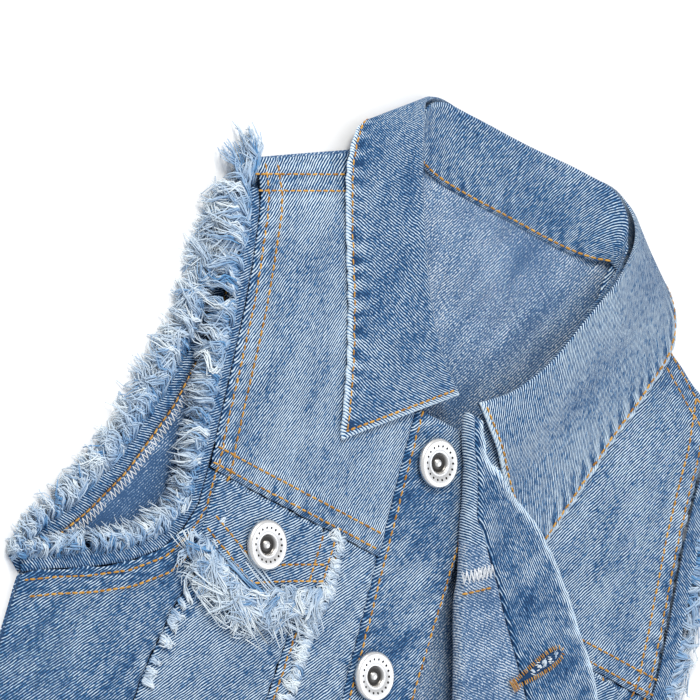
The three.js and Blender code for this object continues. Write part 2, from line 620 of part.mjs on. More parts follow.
// A frayed strip: a narrow backing along a seam line, with locks of threads fused to its free edge.
// turn is 1 where the open side is to the right of the way along the line, and -1 to the left.
// reach(t) is how far the locks go past the strip, and rise how far they curl up.
function frayedStrip(name, { places, turn, top, width, count, reach, rise, seed }) {
  const { points, outwards } = seamLine(places);
  const last = points.length - 1;
  const at = (list, t) => {
    const step = Math.min(Math.floor(t * last), last - 1);
    return list[step].clone().lerp(list[step + 1], t * last - step);
  };
  const place = (t, out) => {
    const p = at(points, t).addScaledVector(at(outwards, t), turn * out);
    p.z = top(p.x, p.y);
    return p;
  };
  const edges = [GAP, width];
  const strip = wall({
    point: (u, v) => place(turn > 0 ? v : 1 - v, edges[u]), columns: [0, 1], rows: last,
  });
  let solid = solidOf(strip.attributes.position.array, strip.index.array);
  const random = seeded(seed);
  for (let i = 0; i < count; i += 1) {
    const t = (i + 0.3 + 0.4 * random()) / count;
    const side = at(outwards, t).normalize().multiplyScalar(turn);
    const along = new THREE.Vector3(-side.y, side.x, 0);
    const length = reach(t) * (0.72 + 0.4 * random());
    const lean = (random() - 0.5) * LOCK_LEAN * length;
    const root = place(t, width - 1.2);
    root.z -= CLOTH / 2;
    const middle = root.clone().addScaledVector(side, length * 0.55).addScaledVector(along, lean * 0.3);
    middle.z += rise * (0.4 + 0.6 * random());
    const tip = root.clone().addScaledVector(side, length + 1).addScaledVector(along, lean);
    tip.z += rise * random();
    const halfWidths = [STRAND_ROOT, STRAND_ROOT * 0.8, STRAND_TIP];
    solid = solid.add(lock([root, middle, tip], halfWidths, LOCK_HALF_HEIGHT));
  }
  addMesh(name, geometryOf(solid), FRINGE);
}

// How far the frayed locks reach past the stub, from the shoulder (0) to the underarm (1).
const FRONT_REACH = [
  { t: 0, reach: 19 }, { t: 0.35, reach: 15 }, { t: 0.6, reach: 8 }, { t: 0.8, reach: 9 }, { t: 1, reach: 10 },
];
const BACK_REACH = [{ t: 0, reach: 18 }, { t: 0.5, reach: 17 }, { t: 1, reach: 9 }];

// Frayed sleeve stubs round both armholes, front and back, each on its own backing strip.
function buildArmholes() {
  const layers = [
    { name: 'front_left', side: -1, table: FRONT_ARMHOLE, top: frontTop, reach: FRONT_REACH, rise: 1.2 },
    { name: 'front_right', side: 1, table: FRONT_ARMHOLE_RIGHT, top: frontTop, reach: FRONT_REACH, rise: 1.2 },
    { name: 'back_left', side: -1, table: BACK_ARMHOLE, top: backTop, reach: BACK_REACH, rise: 0 },
    { name: 'back_right', side: 1, table: BACK_ARMHOLE, top: backTop, reach: BACK_REACH, rise: 0 },
  ];
  layers.forEach(({ name, side, table, top, reach, rise }, seed) => {
    const places = table.filter((row) => row.y < 45).map(({ x, y }) => new THREE.Vector3(side * x, y, 0));
    frayedStrip(`armhole_${name}`, {
      places, turn: -side, top, width: STUB_WIDTH, count: ARMHOLE_STRANDS,
      reach: (t) => between(reach, 't', t, 'reach'), rise, seed: 11 + seed,
    });
  });
}

// Pocket flaps below the yoke: pointed, with a frayed lower edge.
const FLAP_TOP_Y = YOKE_Y - 2;
const FLAP_OUTLINE = [
  { x: 39, y: -92 }, { x: 52, y: -97 }, { x: 64, y: -102 }, { x: 75, y: -107 }, { x: 88, y: -102 },
  { x: 106, y: -95 },
];
const FLAP_REACH = 17;
function buildFlaps() {
  const sides = [{ side: -1, label: 'left', draw: 0 }, { side: 1, label: 'right', draw: FLAP_DRAW }];
  sides.forEach(({ side, label, draw }, seed) => {
    const rows = FLAP_OUTLINE.map(({ x, y }) => ({ x: side * (x + draw), y })).sort((a, b) => a.x - b.x);
    const top = (x, y) => frontTop(x, y) + GAP + CLOTH;
    const low = (x) => between(rows, 'x', x, 'y');
    const first = rows[0].x;
    const span = rows[rows.length - 1].x - first;
    addMesh(`pocket_flap_${label}`, wall({
      point: (u, v) => {
        const x = first + span * u;
        const y = low(x) + (FLAP_TOP_Y - low(x)) * v;
        return new THREE.Vector3(x, y, top(x, y));
      },
      columns: rows.map((row) => (row.x - first) / span), rows: 4,
    }), DENIM);
    frayedStrip(`flap_fringe_${label}`, {
      places: rows.map(({ x, y }) => new THREE.Vector3(x, y, 0)), turn: 1, top, width: 3,
      count: FLAP_STRANDS, reach: () => FLAP_REACH, rise: 0.5, seed: 41 + seed,
    });
  });
}

// Tack buttons: a domed rim round a hollow with a small stud in it.
const BUTTON_PROFILE = [
  { r: 0, z: 0 }, { r: 8.8, z: 0 }, { r: BUTTON_RADIUS, z: 1 }, { r: 9.6, z: 2.1 }, { r: 7.4, z: BUTTON_HEIGHT },
  { r: 4.4, z: 2.6 }, { r: 3.6, z: 1.3 }, { r: 1.7, z: 1.3 }, { r: 0, z: 2.3 },
];
const BUTTON_SIDES = 18;
function addButton(name, x, y, seat) {
  const profile = BUTTON_PROFILE.map(({ r, z }) => new THREE.Vector2(r, z));
  const geometry = new THREE.LatheGeometry(profile, BUTTON_SIDES);
  geometry.rotateX(Math.PI / 2);
  const mesh = addMesh(name, geometry, METAL);
  mesh.position.set(x, y, seat + GAP);
}

function buildButtons() {
  const placketCount = 4;
  const seatOf = (x, y, raised) => {
    const around = stopsOf(12).map((t) => 2 * Math.PI * t);
    return Math.max(...around.map((a) => frontTop(x + 9 * Math.cos(a), y + 9 * Math.sin(a)))) + raised;
  };
  for (let i = 0; i < placketCount; i += 1) {
    const y = BUTTON_TOP_Y - BUTTON_PITCH * i;
    addButton(`button_${i + 1}`, BUTTON_X, y, seatOf(BUTTON_X, y, PLACKET_CLOTH - CLOTH));
  }
  const waistY = HEM_Y + WAISTBAND / 2;
  addButton('button_waist', BUTTON_X, waistY, seatOf(BUTTON_X, waistY, PLACKET_CLOTH - CLOTH));
  const flapPlaces = [
    { label: 'left', x: -FLAP_CENTRE_X }, { label: 'right', x: FLAP_CENTRE_X + FLAP_DRAW },
  ];
  flapPlaces.forEach(({ label, x }) => {
    addButton(`flap_button_${label}`, x, FLAP_BUTTON_Y, seatOf(x, FLAP_BUTTON_Y, CLOTH + GAP));
  });
}

buildBack();
buildLeftFront();
buildRightFront();
buildTurnBack();
buildCollar();
buildArmholes();
buildFlaps();
buildButtons();

// The origin is the middle of the underside of the whole garment's box.
const reach = new THREE.Box3().setFromObject(garment);
const middle = reach.getCenter(new THREE.Vector3());
garment.position.set(-middle.x, -middle.y, -reach.min.z);

export default garment;
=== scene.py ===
"""Dresses the laid denim vest: cloth shells, seams, topstitching, frayed threads and metal buttons.

Sizes are millimetres in the garment's own plan, x across from the centre front line and y towards the
neck, and are turned to metres in the row frame when a mesh is written.
"""
from __future__ import annotations

import logging
import math
from dataclasses import dataclass, field
from enum import Enum
from typing import Callable, Sequence

import bpy
import numpy as np
from mathutils import Matrix, Vector


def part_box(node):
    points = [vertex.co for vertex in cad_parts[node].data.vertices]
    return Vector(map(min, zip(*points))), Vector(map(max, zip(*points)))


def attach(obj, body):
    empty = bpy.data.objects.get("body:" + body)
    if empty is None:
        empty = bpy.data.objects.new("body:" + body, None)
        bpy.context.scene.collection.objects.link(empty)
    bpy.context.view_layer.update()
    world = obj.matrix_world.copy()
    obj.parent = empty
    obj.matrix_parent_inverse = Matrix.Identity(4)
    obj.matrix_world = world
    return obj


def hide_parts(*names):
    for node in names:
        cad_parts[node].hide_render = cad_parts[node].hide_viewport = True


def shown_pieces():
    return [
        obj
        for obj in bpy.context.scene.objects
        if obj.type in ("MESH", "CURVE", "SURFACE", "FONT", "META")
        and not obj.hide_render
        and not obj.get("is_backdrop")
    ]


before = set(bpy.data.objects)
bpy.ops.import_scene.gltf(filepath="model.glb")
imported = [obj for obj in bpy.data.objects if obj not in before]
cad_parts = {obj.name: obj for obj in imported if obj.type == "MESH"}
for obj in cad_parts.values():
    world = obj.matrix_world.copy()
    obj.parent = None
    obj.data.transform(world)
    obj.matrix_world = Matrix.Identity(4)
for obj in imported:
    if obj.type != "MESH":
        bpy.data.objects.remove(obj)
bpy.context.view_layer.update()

LOG = logging.getLogger("vest")
MM = 0.001
Array = np.ndarray

# Garment sizes, the same as the solids have
CLOTH = 1.4
PLACKET_CLOTH = 2.2
LEAF_CLOTH = 1.6
GAP = 0.3
HALF_WIDTH = 180.0
HALF_HEM = 170.0
HEM_Y = -392.0
WAISTBAND = 42.0
WAIST_SEAM_Y = HEM_Y + WAISTBAND
YOKE_Y = -70.0
BACK_YOKE_Y = -20.0
UNDERARM_Y = -141.0
FRONT_FLOOR = CLOTH + GAP + 0.1
BODY_LOFT = 5.4
LOFT_POWER = 6
BACK_LIFT = CLOTH + 0.5
LIFT_Y = (36.0, 54.0)
LIFT_X = (84.0, 100.0)
NECK_POINT = (58.0, 88.0)
SHOULDER_TIP_X = 129.0
ARM_TOP_Y = 52.0
STUB_TOP_Y = 45.0
SHOULDER_TOP_Y = NECK_POINT[1]
SHOULDER_SLOPE = 0.49
SHOULDER_GAP = 0.4
PLACKET_EDGE_X = 22.5
PLACKET_TOP_Y = -8.0
RIGHT_SEAM_DRAW = 16.0
TURN_CLEAR = 3.4
ROLL_OUTER = TURN_CLEAR / 2 + CLOTH
FACING_WIDTH = 42.0
LEAST_FACING_START = 0.06
FACING_LOW_Y = -47.0
OVER_PLACKET = PLACKET_CLOTH + 0.5
FLAP_CENTRE_X = 75.0
FLAP_DRAW = 16.0
FLAP_BUTTON_Y = -88.0
FLAP_TOP_Y = YOKE_Y - 2
FLAP_REACH = 17.0
BUTTON_BUMP = 3.2
STUB_WIDTH = 8.0

# Sewing sizes
STITCH_PITCH = 3.3
STITCH_LENGTH = 2.7
STITCH_WIDTH = 0.9
TWIN_GAUGE = 6.5
WALE_PITCH = 1.0
WALE_LEAN = 58.0
THREAD_RADIUS = 0.3
LOCK_THREADS = 10
ARM_ROW = 3.0
SEAM_ROW = 2.2
EDGE_ROW = 2.4
FLAP_ROW = 2.6
FLAP_THREADS = {"left": 1700, "right": 400}
PUCKER_HEIGHT = 0.42
PUCKER_LIMIT = 1.2
LEAF_RUN = 620.0
LEAF_DEPTH = 64.0
STAND_DEPTH = 30.0
SEAT = 0.03
# Painted shade: how much darker the under faces, the collar stand and the sleeve stubs are drawn
UNDER_SHADE = 0.05
STAND_SHADE = 0.05
STUB_SHADE = 0.12
UP = (0.0, 0.0, 1.0)

# Width and height of the raised lap of seam allowance beside a seam
ARM_LAP = (9.0, 0.6)
YOKE_LAP = (9.5, 0.8)
SHOULDER_LAP = (5.4, 0.7)
V_LAP = (8.5, 0.7)

# The photograph is squeezed to three quarters of its width. That is taken as the camera's: it looks from
# the side by the angle whose cosine is that, through a very long lens.
SQUEEZE = 0.75
VIEW_TURN_DEG = 22.0
PHOTO_HEIGHT_MM = 274.4
PHOTO_CENTRE = (0.0, 0.0)
CENTRE_LINE_X = 60.0
REFERENCE_Z = 8.0
LENS_MM = 900.0
SENSOR_MM = 36.0

_placket_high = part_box("placket_left")[1]
SHIFT = np.array([_placket_high.x / MM - PLACKET_EDGE_X, _placket_high.y / MM - PLACKET_TOP_Y, 0.0])


def smooth(low: float, high: float, value: Array) -> Array:
    """Ease from 0 at low to 1 at high: the cubic 3t^2 - 2t^3."""
    share = np.clip((value - low) / (high - low), 0.0, 1.0)
    return share * share * (3 - 2 * share)


def table(rows: Sequence[tuple[float, float]]) -> Callable[[Array], Array]:
    """A straight-line function through (y, value) rows given in any order of y."""
    pairs = np.array(sorted(rows), float)
    return lambda y: np.interp(y, pairs[:, 0], pairs[:, 1])


@dataclass(frozen=True)
class Fold:
    """A soft ridge (or trough, if height is negative) from one end to the other."""

    x0: float
    y0: float
    x1: float
    y1: float
    width: float
    height: float

    def lift(self, x: Array, y: Array) -> Array:
        """Height at plan points: a bell across the fold that fades at both ends.

        Args:
            x: plan x in millimetres.
            y: plan y in millimetres, in step with x.

        Returns:
            Heights in millimetres.
        """
        dx, dy = self.x1 - self.x0, self.y1 - self.y0
        length = math.hypot(dx, dy)
        along = ((x - self.x0) * dx + (y - self.y0) * dy) / length
        across = ((x - self.x0) * dy - (y - self.y0) * dx) / length
        fade = smooth(0, 0.25 * length, along) * (1 - smooth(0.75 * length, length, along))
        return self.height * fade * np.exp(-((across / self.width) ** 2))


# The folds that the solids have
FRONT_FOLDS = (
    Fold(-100, 60, -78, -50, 16, 1.4),
    Fold(-170, -175, -95, -235, 18, 1.6),
    Fold(-75, -215, -40, -330, 17, 1.3),
    Fold(110, 40, 95, -45, 15, 1.2),
    Fold(172, -190, 158, -300, 14, 1.5),
)

FRONT_ARMHOLE = (
    (ARM_TOP_Y, 128), (42, 125), (27, 122), (12, 119), (-4, 116.6), (-19, 115), (-40, 113), (-61, 111),
    (-85, 110), (-97, 114), (-108, 121), (-119, 135), (-128, 152), (-135, 168), (UNDERARM_Y, HALF_WIDTH),
)
BACK_ARMHOLE = (
    (ARM_TOP_Y, 128), (34, 124), (15, 122), (-2, 122.6), (-20, 124), (-52, 131), (-85, 144), (-107, 157),
    (-126, 171), (UNDERARM_Y, HALF_WIDTH),
)
FRONT_NECK = ((88, 59), (60, 53), (30, 39), (8, 22), (-2, 6))
NECK_END_Y = -2.0
V_SEAM_OUTER = ((YOKE_Y, 98.6), (-109, 101), (-128, 107), (-157, 112), (WAIST_SEAM_Y, 118))
V_SEAM_INNER = ((YOKE_Y, 46), (WAIST_SEAM_Y, 58))
PLACKET_INNER = ((PLACKET_TOP_Y, -19), (-130, -12.5), (HEM_Y, -12.5))
# y, fold x, free edge x, free edge y
TURN_BACK = (
    (-2, 1, 9, -3), (-12, 4.5, 17, -16), (-22, 9.5, 33, -21.5), (-33, 13, 52, -28), (-43, 15.5, 66, -36.5),
    (-61, 22, 84, -53), (-84, 31, 102, -74.5), (-106, 40, 119, -98), (-150, 55, 138, -143),
    (-210, 62, 146, -207), (-350, 64, 147, -350), (HEM_Y, 62, 145, HEM_Y)
)
FLAP_OUTLINE = ((39, -92), (52, -97), (64, -102), (75, -107), (88, -102), (106, -95))


# How far the right front's armhole is drawn outwards by being turned back
RIGHT_DRAW = (
    (ARM_TOP_Y, 2), (34, 7), (-4, 16), (-58, 29), (-97, 28), (-108, 25), (-119, 18), (-128, 10), (-135, 4),
    (UNDERARM_Y, 0)
)
right_draw = table(RIGHT_DRAW)
FRONT_ARMHOLE_RIGHT = tuple((y, x + float(right_draw(y))) for y, x in FRONT_ARMHOLE)
front_armhole = table(FRONT_ARMHOLE)
front_armhole_right = table(FRONT_ARMHOLE_RIGHT)
back_armhole = table(BACK_ARMHOLE)
front_neck = table(FRONT_NECK)
v_outer = table(V_SEAM_OUTER)
v_inner = table(V_SEAM_INNER)
placket_inner = table(PLACKET_INNER)
fold_line = table([(r[0], r[1]) for r in TURN_BACK])
turn_edge = table([(r[0], r[2]) for r in TURN_BACK])
turn_edge_y = table([(r[0], r[3]) for r in TURN_BACK])


def half_width(y: Array) -> Array:
    """Half width of the body from the underarm to the hem."""
    return HALF_WIDTH + (HALF_HEM - HALF_WIDTH) * smooth(UNDERARM_Y, HEM_Y, y)


def front_side(side: int, y: Array) -> Array:
    """Outer edge of a front at y, signed."""
    arm = (front_armhole if side < 0 else front_armhole_right)(y)
    return side * np.where(y > UNDERARM_Y, arm, half_width(y))


def back_side(y: Array) -> Array:
    """Outer edge of the back at y."""
    return np.where(y > UNDERARM_Y, back_armhole(y), half_width(y))


def shoulder_y(x: Array) -> Array:
    """The shoulder fold's y at x."""
    return NECK_POINT[1] - SHOULDER_SLOPE * (np.abs(x) - NECK_POINT[0])


def lift_at(x: Array, y: Array) -> Array:
    """How far the layers rise over the collar leaf that lies under the back yoke."""
    return BACK_LIFT * smooth(*LIFT_Y, y) * (1 - smooth(*LIFT_X, np.abs(x)))


def back_top(x: Array, y: Array) -> Array:
    """Upper face of the back layer."""
    return CLOTH + lift_at(x, y)


def front_top(x: Array, y: Array) -> Array:
    """Upper face of the front layer: a low arch over the back, with the solids' folds.

    Args:
        x: plan x in millimetres.
        y: plan y in millimetres, in step with x.

    Returns:
        Heights in millimetres.
    """
    side = 1 - np.minimum(1, np.abs(x) / HALF_WIDTH) ** LOFT_POWER
    shoulder = smooth(0, 26, shoulder_y(x) - y)
    loft = side * np.where(y > UNDERARM_Y, shoulder, 1)
    folds = sum(f.lift(x, y) for f in FRONT_FOLDS)
    return FRONT_FLOOR + CLOTH + lift_at(x, y) * (1 - shoulder) + (BODY_LOFT + folds) * loft


def over_placket(x: Array, y: Array) -> Array:
    """The right front passes over the end of the left placket."""
    return OVER_PLACKET * (1 - smooth(24, 41, x)) * smooth(-74, -61, y)


def right_top(x: Array, y: Array) -> Array:
    """Upper face of the right front's lower layer."""
    return front_top(x, y) + over_placket(x, y)


def turn_clear(x: Array, y: Array, share: Array) -> Array:
    """Clearance under the turned-back front, more over the pocket flap's button."""
    away = np.hypot(x - FLAP_CENTRE_X - FLAP_DRAW, y - FLAP_BUTTON_Y)
    return TURN_CLEAR - 0.5 * share + BUTTON_BUMP * (1 - smooth(11, 38, away))


def wave_noise(x: Array, y: Array, size: float, seed: int, octaves: int = 3) -> Array:
    """Smooth noise about -1 to 1: a sum of seeded plane waves of about the given wavelength.

    Args:
        x: plan x in millimetres.
        y: plan y in millimetres, in step with x.
        size: longest wavelength in millimetres, about.
        seed: start of the random draws.
        octaves: number of ever finer sets of waves.

    Returns:
        Values about -1 to 1, shaped like x and y.
    """
    rng = np.random.default_rng(seed)
    total = np.zeros(np.broadcast(x, y).shape)
    weight = 0.0
    for octave in range(octaves):
        scale = 2 * math.pi / (size / 1.7**octave)
        for _ in range(5):
            angle, phase, stretch = rng.uniform(0, 2 * math.pi), rng.uniform(0, 6.3), rng.uniform(0.6, 1.4)
            wave = np.sin(scale * stretch * (x * math.cos(angle) + y * math.sin(angle)) + phase)
            total = total + wave / 1.6**octave
        weight += 5 / 1.6**octave
    return total / weight * 2.2


def linear(hex_code: str) -> tuple[float, float, float, float]:
    """An sRGB hex colour as linear RGBA.

    Args:
        hex_code: colour as # and six digits.

    Returns:
        Linear red, green, blue and 1.
    """
    parts = [int(hex_code.lstrip("#")[i : i + 2], 16) / 255 for i in (0, 2, 4)]
    out = [p / 12.92 if p <= 0.04045 else ((p + 0.055) / 1.055) ** 2.4 for p in parts]
    return (*out, 1.0)


class Graph:
    """A material's node tree, with a helper that adds a node and links its inputs."""

    def __init__(self, name: str) -> None:
        """Start an empty material of the given name.

        Args:
            name: the material's name.
        """
        self.material = bpy.data.materials.new(name)
        self.material.use_nodes = True
        self.tree = self.material.node_tree
        self.tree.nodes.clear()

    def add(self, kind: str, inputs: dict | None = None, **settings: object) -> bpy.types.Node:
        """Add a node.

        Args:
            kind: node type without its ShaderNode prefix.
            inputs: socket name or index against a value or an output socket.
            settings: the node's own properties.

        Returns:
            The new node.
        """
        node = self.tree.nodes.new("ShaderNode" + kind)
        for key, value in settings.items():
            setattr(node, key, value)
        for key, value in (inputs or {}).items():
            socket = node.inputs[key]
            if isinstance(value, bpy.types.NodeSocket):
                self.tree.links.new(value, socket)
            else:
                socket.default_value = value
        return node

    def math(self, operation: str, a: object, b: object = 0.0, clamp: bool = False) -> bpy.types.NodeSocket:
        """One arithmetic step; returns its output socket."""
        return self.add("Math", {0: a, 1: b}, operation=operation, use_clamp=clamp).outputs[0]

    def times(self, a: object, b: object) -> bpy.types.NodeSocket:
        """The product of two values."""
        return self.math("MULTIPLY", a, b)

    def plus(self, a: object, b: object) -> bpy.types.NodeSocket:
        """The sum of two values."""
        return self.math("ADD", a, b)

    def minus(self, a: object, b: object) -> bpy.types.NodeSocket:
        """The difference of two values."""
        return self.math("SUBTRACT", a, b)

    def noise(self, place: object, scale: float, detail: float, roughness: float) -> bpy.types.NodeSocket:
        """Fractal noise about 0.5 at a place."""
        inputs = {"Vector": place, "Scale": scale, "Detail": detail, "Roughness": roughness}
        return self.add("TexNoise", inputs).outputs["Fac"]

    def mix(self, share: object, a: object, b: object) -> bpy.types.NodeSocket:
        """Blend two colours; returns the colour output."""
        node = self.add("Mix", {0: share, 6: a, 7: b}, data_type="RGBA")
        return node.outputs[2]

    def attribute(self, name: str) -> bpy.types.NodeSocket:
        """A vertex value written by the mesh builder."""
        return self.add("Attribute", attribute_name=name).outputs["Fac"]

    def finish(self, shader: bpy.types.Node) -> bpy.types.Material:
        """Link the shader to a new material output."""
        self.add("OutputMaterial", {"Surface": shader.outputs[0]})
        return self.material


@dataclass(frozen=True)
class Denim:
    """Washed cotton twill: a dark weft between pale worn wales, with slubs and bleached wear.

    The twill line pattern is a sine of the distance across the wales, broken by noise stretched
    along the warp yarns. Wear and shade come from the mesh as vertex values.
    """

    name: str = "washed cotton denim"
    dark: str = "#143a63"  # indigo in the hollows and seam shadows
    middle: str = "#4b87bb"  # indigo after many washes
    light: str = "#dcecf6"  # bleached warp on worn places
    wale: float = 0.9  # strength of the diagonal lines
    slub: float = 3.1  # strength of the uneven yarns
    stretch: float = 0.2  # thickness of the uneven places as a share of their length
    fine: float = 1.9  # uneven places to the millimetre, across

    STREAK = 0.5  # strength of the long streaks
    MOTTLE = 0.6  # strength of the broad patches
    OFFSET = 0.16  # tone of cloth without wear

    def build(self) -> bpy.types.Material:
        """Make the material: its tone picks a colour between dark, middle and light.

        Returns:
            The material.
        """
        g = Graph(self.name)
        uv = g.add("UVMap", uv_map="cut").outputs[0]
        split = g.add("SeparateXYZ", {0: uv})
        u, v = split.outputs[0], split.outputs[1]
        lean = math.radians(WALE_LEAN)
        wander = g.noise(uv, 0.11, 2.0, 0.5)
        across = g.minus(g.times(u, math.sin(lean)), g.times(v, math.cos(lean)))
        across = g.plus(across, g.times(wander, 1.4))
        along = g.plus(g.times(u, math.cos(lean)), g.times(v, math.sin(lean)))
        wale = g.math("SINE", g.times(across, 2 * math.pi / WALE_PITCH))
        grain = g.add("CombineXYZ", {0: across, 1: g.times(along, self.stretch), 2: 0.0}).outputs[0]
        slub = g.noise(grain, self.fine, 3.0, 0.7)
        warp = g.add("CombineXYZ", {0: u, 1: g.times(v, 0.05), 2: 0.0}).outputs[0]
        streak = g.noise(warp, 0.55, 3.0, 0.6)
        mottle = g.noise(uv, 0.055, 4.0, 0.55)
        tone = g.plus(g.times(wale, self.wale), g.attribute("wear"))
        for texture, strength in ((slub, self.slub), (streak, self.STREAK), (mottle, self.MOTTLE)):
            tone = g.plus(tone, g.times(g.minus(texture, 0.5), strength))
        tone = g.minus(tone, g.attribute("shade"))
        pale = g.math("ADD", tone, self.OFFSET, clamp=True)
        ramp = g.add("ValToRGB", {"Fac": pale})
        ramp.color_ramp.elements[0].color = linear(self.dark)
        ramp.color_ramp.elements[0].position = 0.05
        ramp.color_ramp.elements[1].color = linear(self.light)
        ramp.color_ramp.elements[1].position = 0.93
        ramp.color_ramp.elements.new(0.46).color = linear(self.middle)
        relief = g.plus(g.times(wale, 0.5), g.times(slub, 1.6))
        bump = g.add("Bump", {"Strength": 0.6, "Distance": 0.35 * MM, "Height": relief})
        shader = g.add(
            "BsdfPrincipled",
            {
                "Base Color": ramp.outputs[0], "Roughness": 0.93, "Specular IOR Level": 0.18,
                "Sheen Weight": 0.12, "Sheen Roughness": 0.5, "Normal": bump.outputs[0],
            },
        )
        return g.finish(shader)


@dataclass(frozen=True)
class Thread:
    """Spun thread or fibre whose colour runs between two tones along each strand."""

    name: str
    dark: str
    light: str
    roughness: float = 0.7

    def build(self) -> bpy.types.Material:
        """Make the material, whose tone comes from the mesh.

        Returns:
            The material.
        """
        g = Graph(self.name)
        tone = g.attribute("tone")
        shader = g.add(
            "BsdfPrincipled",
            {
                "Base Color": g.mix(tone, linear(self.dark), linear(self.light)),
                "Roughness": self.roughness, "Specular IOR Level": 0.25,
            },
        )
        return g.finish(shader)


@dataclass(frozen=True)
class Nickel:
    """Brushed nickel plate: rings of fine scratches, darker in the hollow."""

    name: str = "brushed nickel plate"
    bright: str = "#f2f0ed"
    low_tone: str = "#3d3b39"  # colour that the dish and the lower side of the rim darken towards

    def build(self) -> bpy.types.Material:
        """Make the material, with scratches in its roughness.

        Returns:
            The material.
        """
        g = Graph(self.name)
        place = g.add("TexCoord").outputs["Object"]
        scratch = g.add("TexNoise", {"Vector": place, "Scale": 2400.0, "Detail": 3.0}).outputs["Fac"]
        lightness = g.attribute("tone")
        colour = g.mix(lightness, linear(self.low_tone), linear(self.bright))
        rough = g.plus(g.times(scratch, 0.22), 0.2)
        shader = g.add("BsdfPrincipled", {"Base Color": colour, "Metallic": 1.0, "Roughness": rough})
        return g.finish(shader)


def to_row(points: Array) -> Array:
    """Garment millimetres to metres in the row frame."""
    return (np.asarray(points, float) + SHIFT) * MM


def new_mesh(name: str, points: Array, faces: Sequence[Array], values: dict[str, Array] | None = None,
             cut: Array | None = None, sharp: Array | None = None) -> bpy.types.Object:
    """Make a smooth-shaded mesh object from arrays.

    Args:
        name: object name.
        points: (n, 3) garment millimetres.
        faces: arrays of vertex numbers, (m, 3) or (m, 4).
        values: vertex values by attribute name.
        cut: (n, 2) place of each vertex in the flat cut, in millimetres, kept as a UV map.
        sharp: (n,) true on vertices of a rim, whose edges are shaded sharp.

    Returns:
        The object, linked to the scene and turned so that its faces look outwards.
    """
    faces = [np.asarray(f, int) for f in faces if len(f)]
    placed = to_row(points)
    volume = 0.0
    for quad in faces:
        for k in range(1, quad.shape[1] - 1):
            a, b, c = (placed[quad[:, i]] - placed.mean(0) for i in (0, k, k + 1))
            volume += float((a * np.cross(b, c)).sum())
    if volume < 0:
        faces = [f[:, ::-1] for f in faces]
    mesh = bpy.data.meshes.new(name)
    mesh.vertices.add(len(placed))
    mesh.vertices.foreach_set("co", placed.ravel())
    loops = np.concatenate([f.ravel() for f in faces])
    sizes = np.concatenate([np.full(len(f), f.shape[1]) for f in faces])
    mesh.loops.add(len(loops))
    mesh.loops.foreach_set("vertex_index", loops)
    mesh.polygons.add(len(sizes))
    mesh.polygons.foreach_set("loop_start", np.concatenate([[0], np.cumsum(sizes)[:-1]]))
    mesh.polygons.foreach_set("use_smooth", np.ones(len(sizes), bool))
    mesh.update(calc_edges=True)
    if cut is not None:
        layer = mesh.uv_layers.new(name="cut")
        layer.data.foreach_set("uv", np.asarray(cut, float)[loops].ravel())
    for key, value in (values or {}).items():
        mesh.attributes.new(key, "FLOAT", "POINT").data.foreach_set("value", np.asarray(value, float).ravel())
    if sharp is not None:
        ends = np.empty(len(mesh.edges) * 2, int)
        mesh.edges.foreach_get("vertices", ends)
        flags = sharp[ends.reshape(-1, 2)].all(axis=1)
        mesh.attributes.new("sharp_edge", "BOOLEAN", "EDGE").data.foreach_set("value", flags)
    obj = bpy.data.objects.new(name, mesh)
    bpy.context.scene.collection.objects.link(obj)
    return obj


def edge_stops(width: float, step: float) -> Array:
    """Places from 0 to 1 over a width: closer together at both ends, where the cloth's edge rounds off.

    Args:
        width: full width in millimetres.
        step: spacing inside, in millimetres.

    Returns:
        Rising places from 0 to 1.
    """
    near = [0.0, 0.35, 0.9, 1.8]
    if width < 7:
        return np.linspace(0, 1, 7)
    inside = np.linspace(3.2, width - 3.2, max(2, int(round((width - 6.4) / step)) + 1))
    return np.concatenate([near, inside, [width - d for d in reversed(near)]]) / width


def grid_normals(points: Array) -> Array:
    """Unit normals of a (rows, columns, 3) grid, from its neighbours' differences.

    Args:
        points: (rows, columns, 3) grid.

    Returns:
        Unit normals, shaped like the grid.
    """
    along = np.gradient(points, axis=1)
    ahead = np.gradient(points, axis=0)
    return unit(np.cross(along, ahead))


def unit(vectors: Array) -> Array:
    """The same vectors at length 1; a zero vector stays zero."""
    return vectors / np.maximum(np.linalg.norm(vectors, axis=-1, keepdims=True), 1e-9)


def left_of(ahead: Array) -> Array:
    """Plan directions a quarter turn to the left of the given ones."""
    return np.stack([-ahead[:, 1], ahead[:, 0]], axis=1)


def on_surface(plan: Array, top: Callable[[Array, Array], Array], rise: float = 0.0) -> Array:
    """Plan points as 3-D points at a rise over a surface."""
    return np.column_stack([plan, top(plan[:, 0], plan[:, 1]) + rise])


def run_length(points: Array) -> Array:
    """How far along a row of points each one lies."""
    return np.concatenate([[0], np.cumsum(np.linalg.norm(np.diff(points, axis=0), axis=-1))])


def grid_length(points: Array, axis: int) -> Array:
    """How far along its grid row (axis 1) or column (axis 0) each point of a grid lies."""
    steps = np.cumsum(np.linalg.norm(np.diff(points, axis=axis), axis=-1), axis=axis)
    return np.concatenate([np.zeros_like(np.take(steps, [0], axis=axis)), steps], axis=axis)


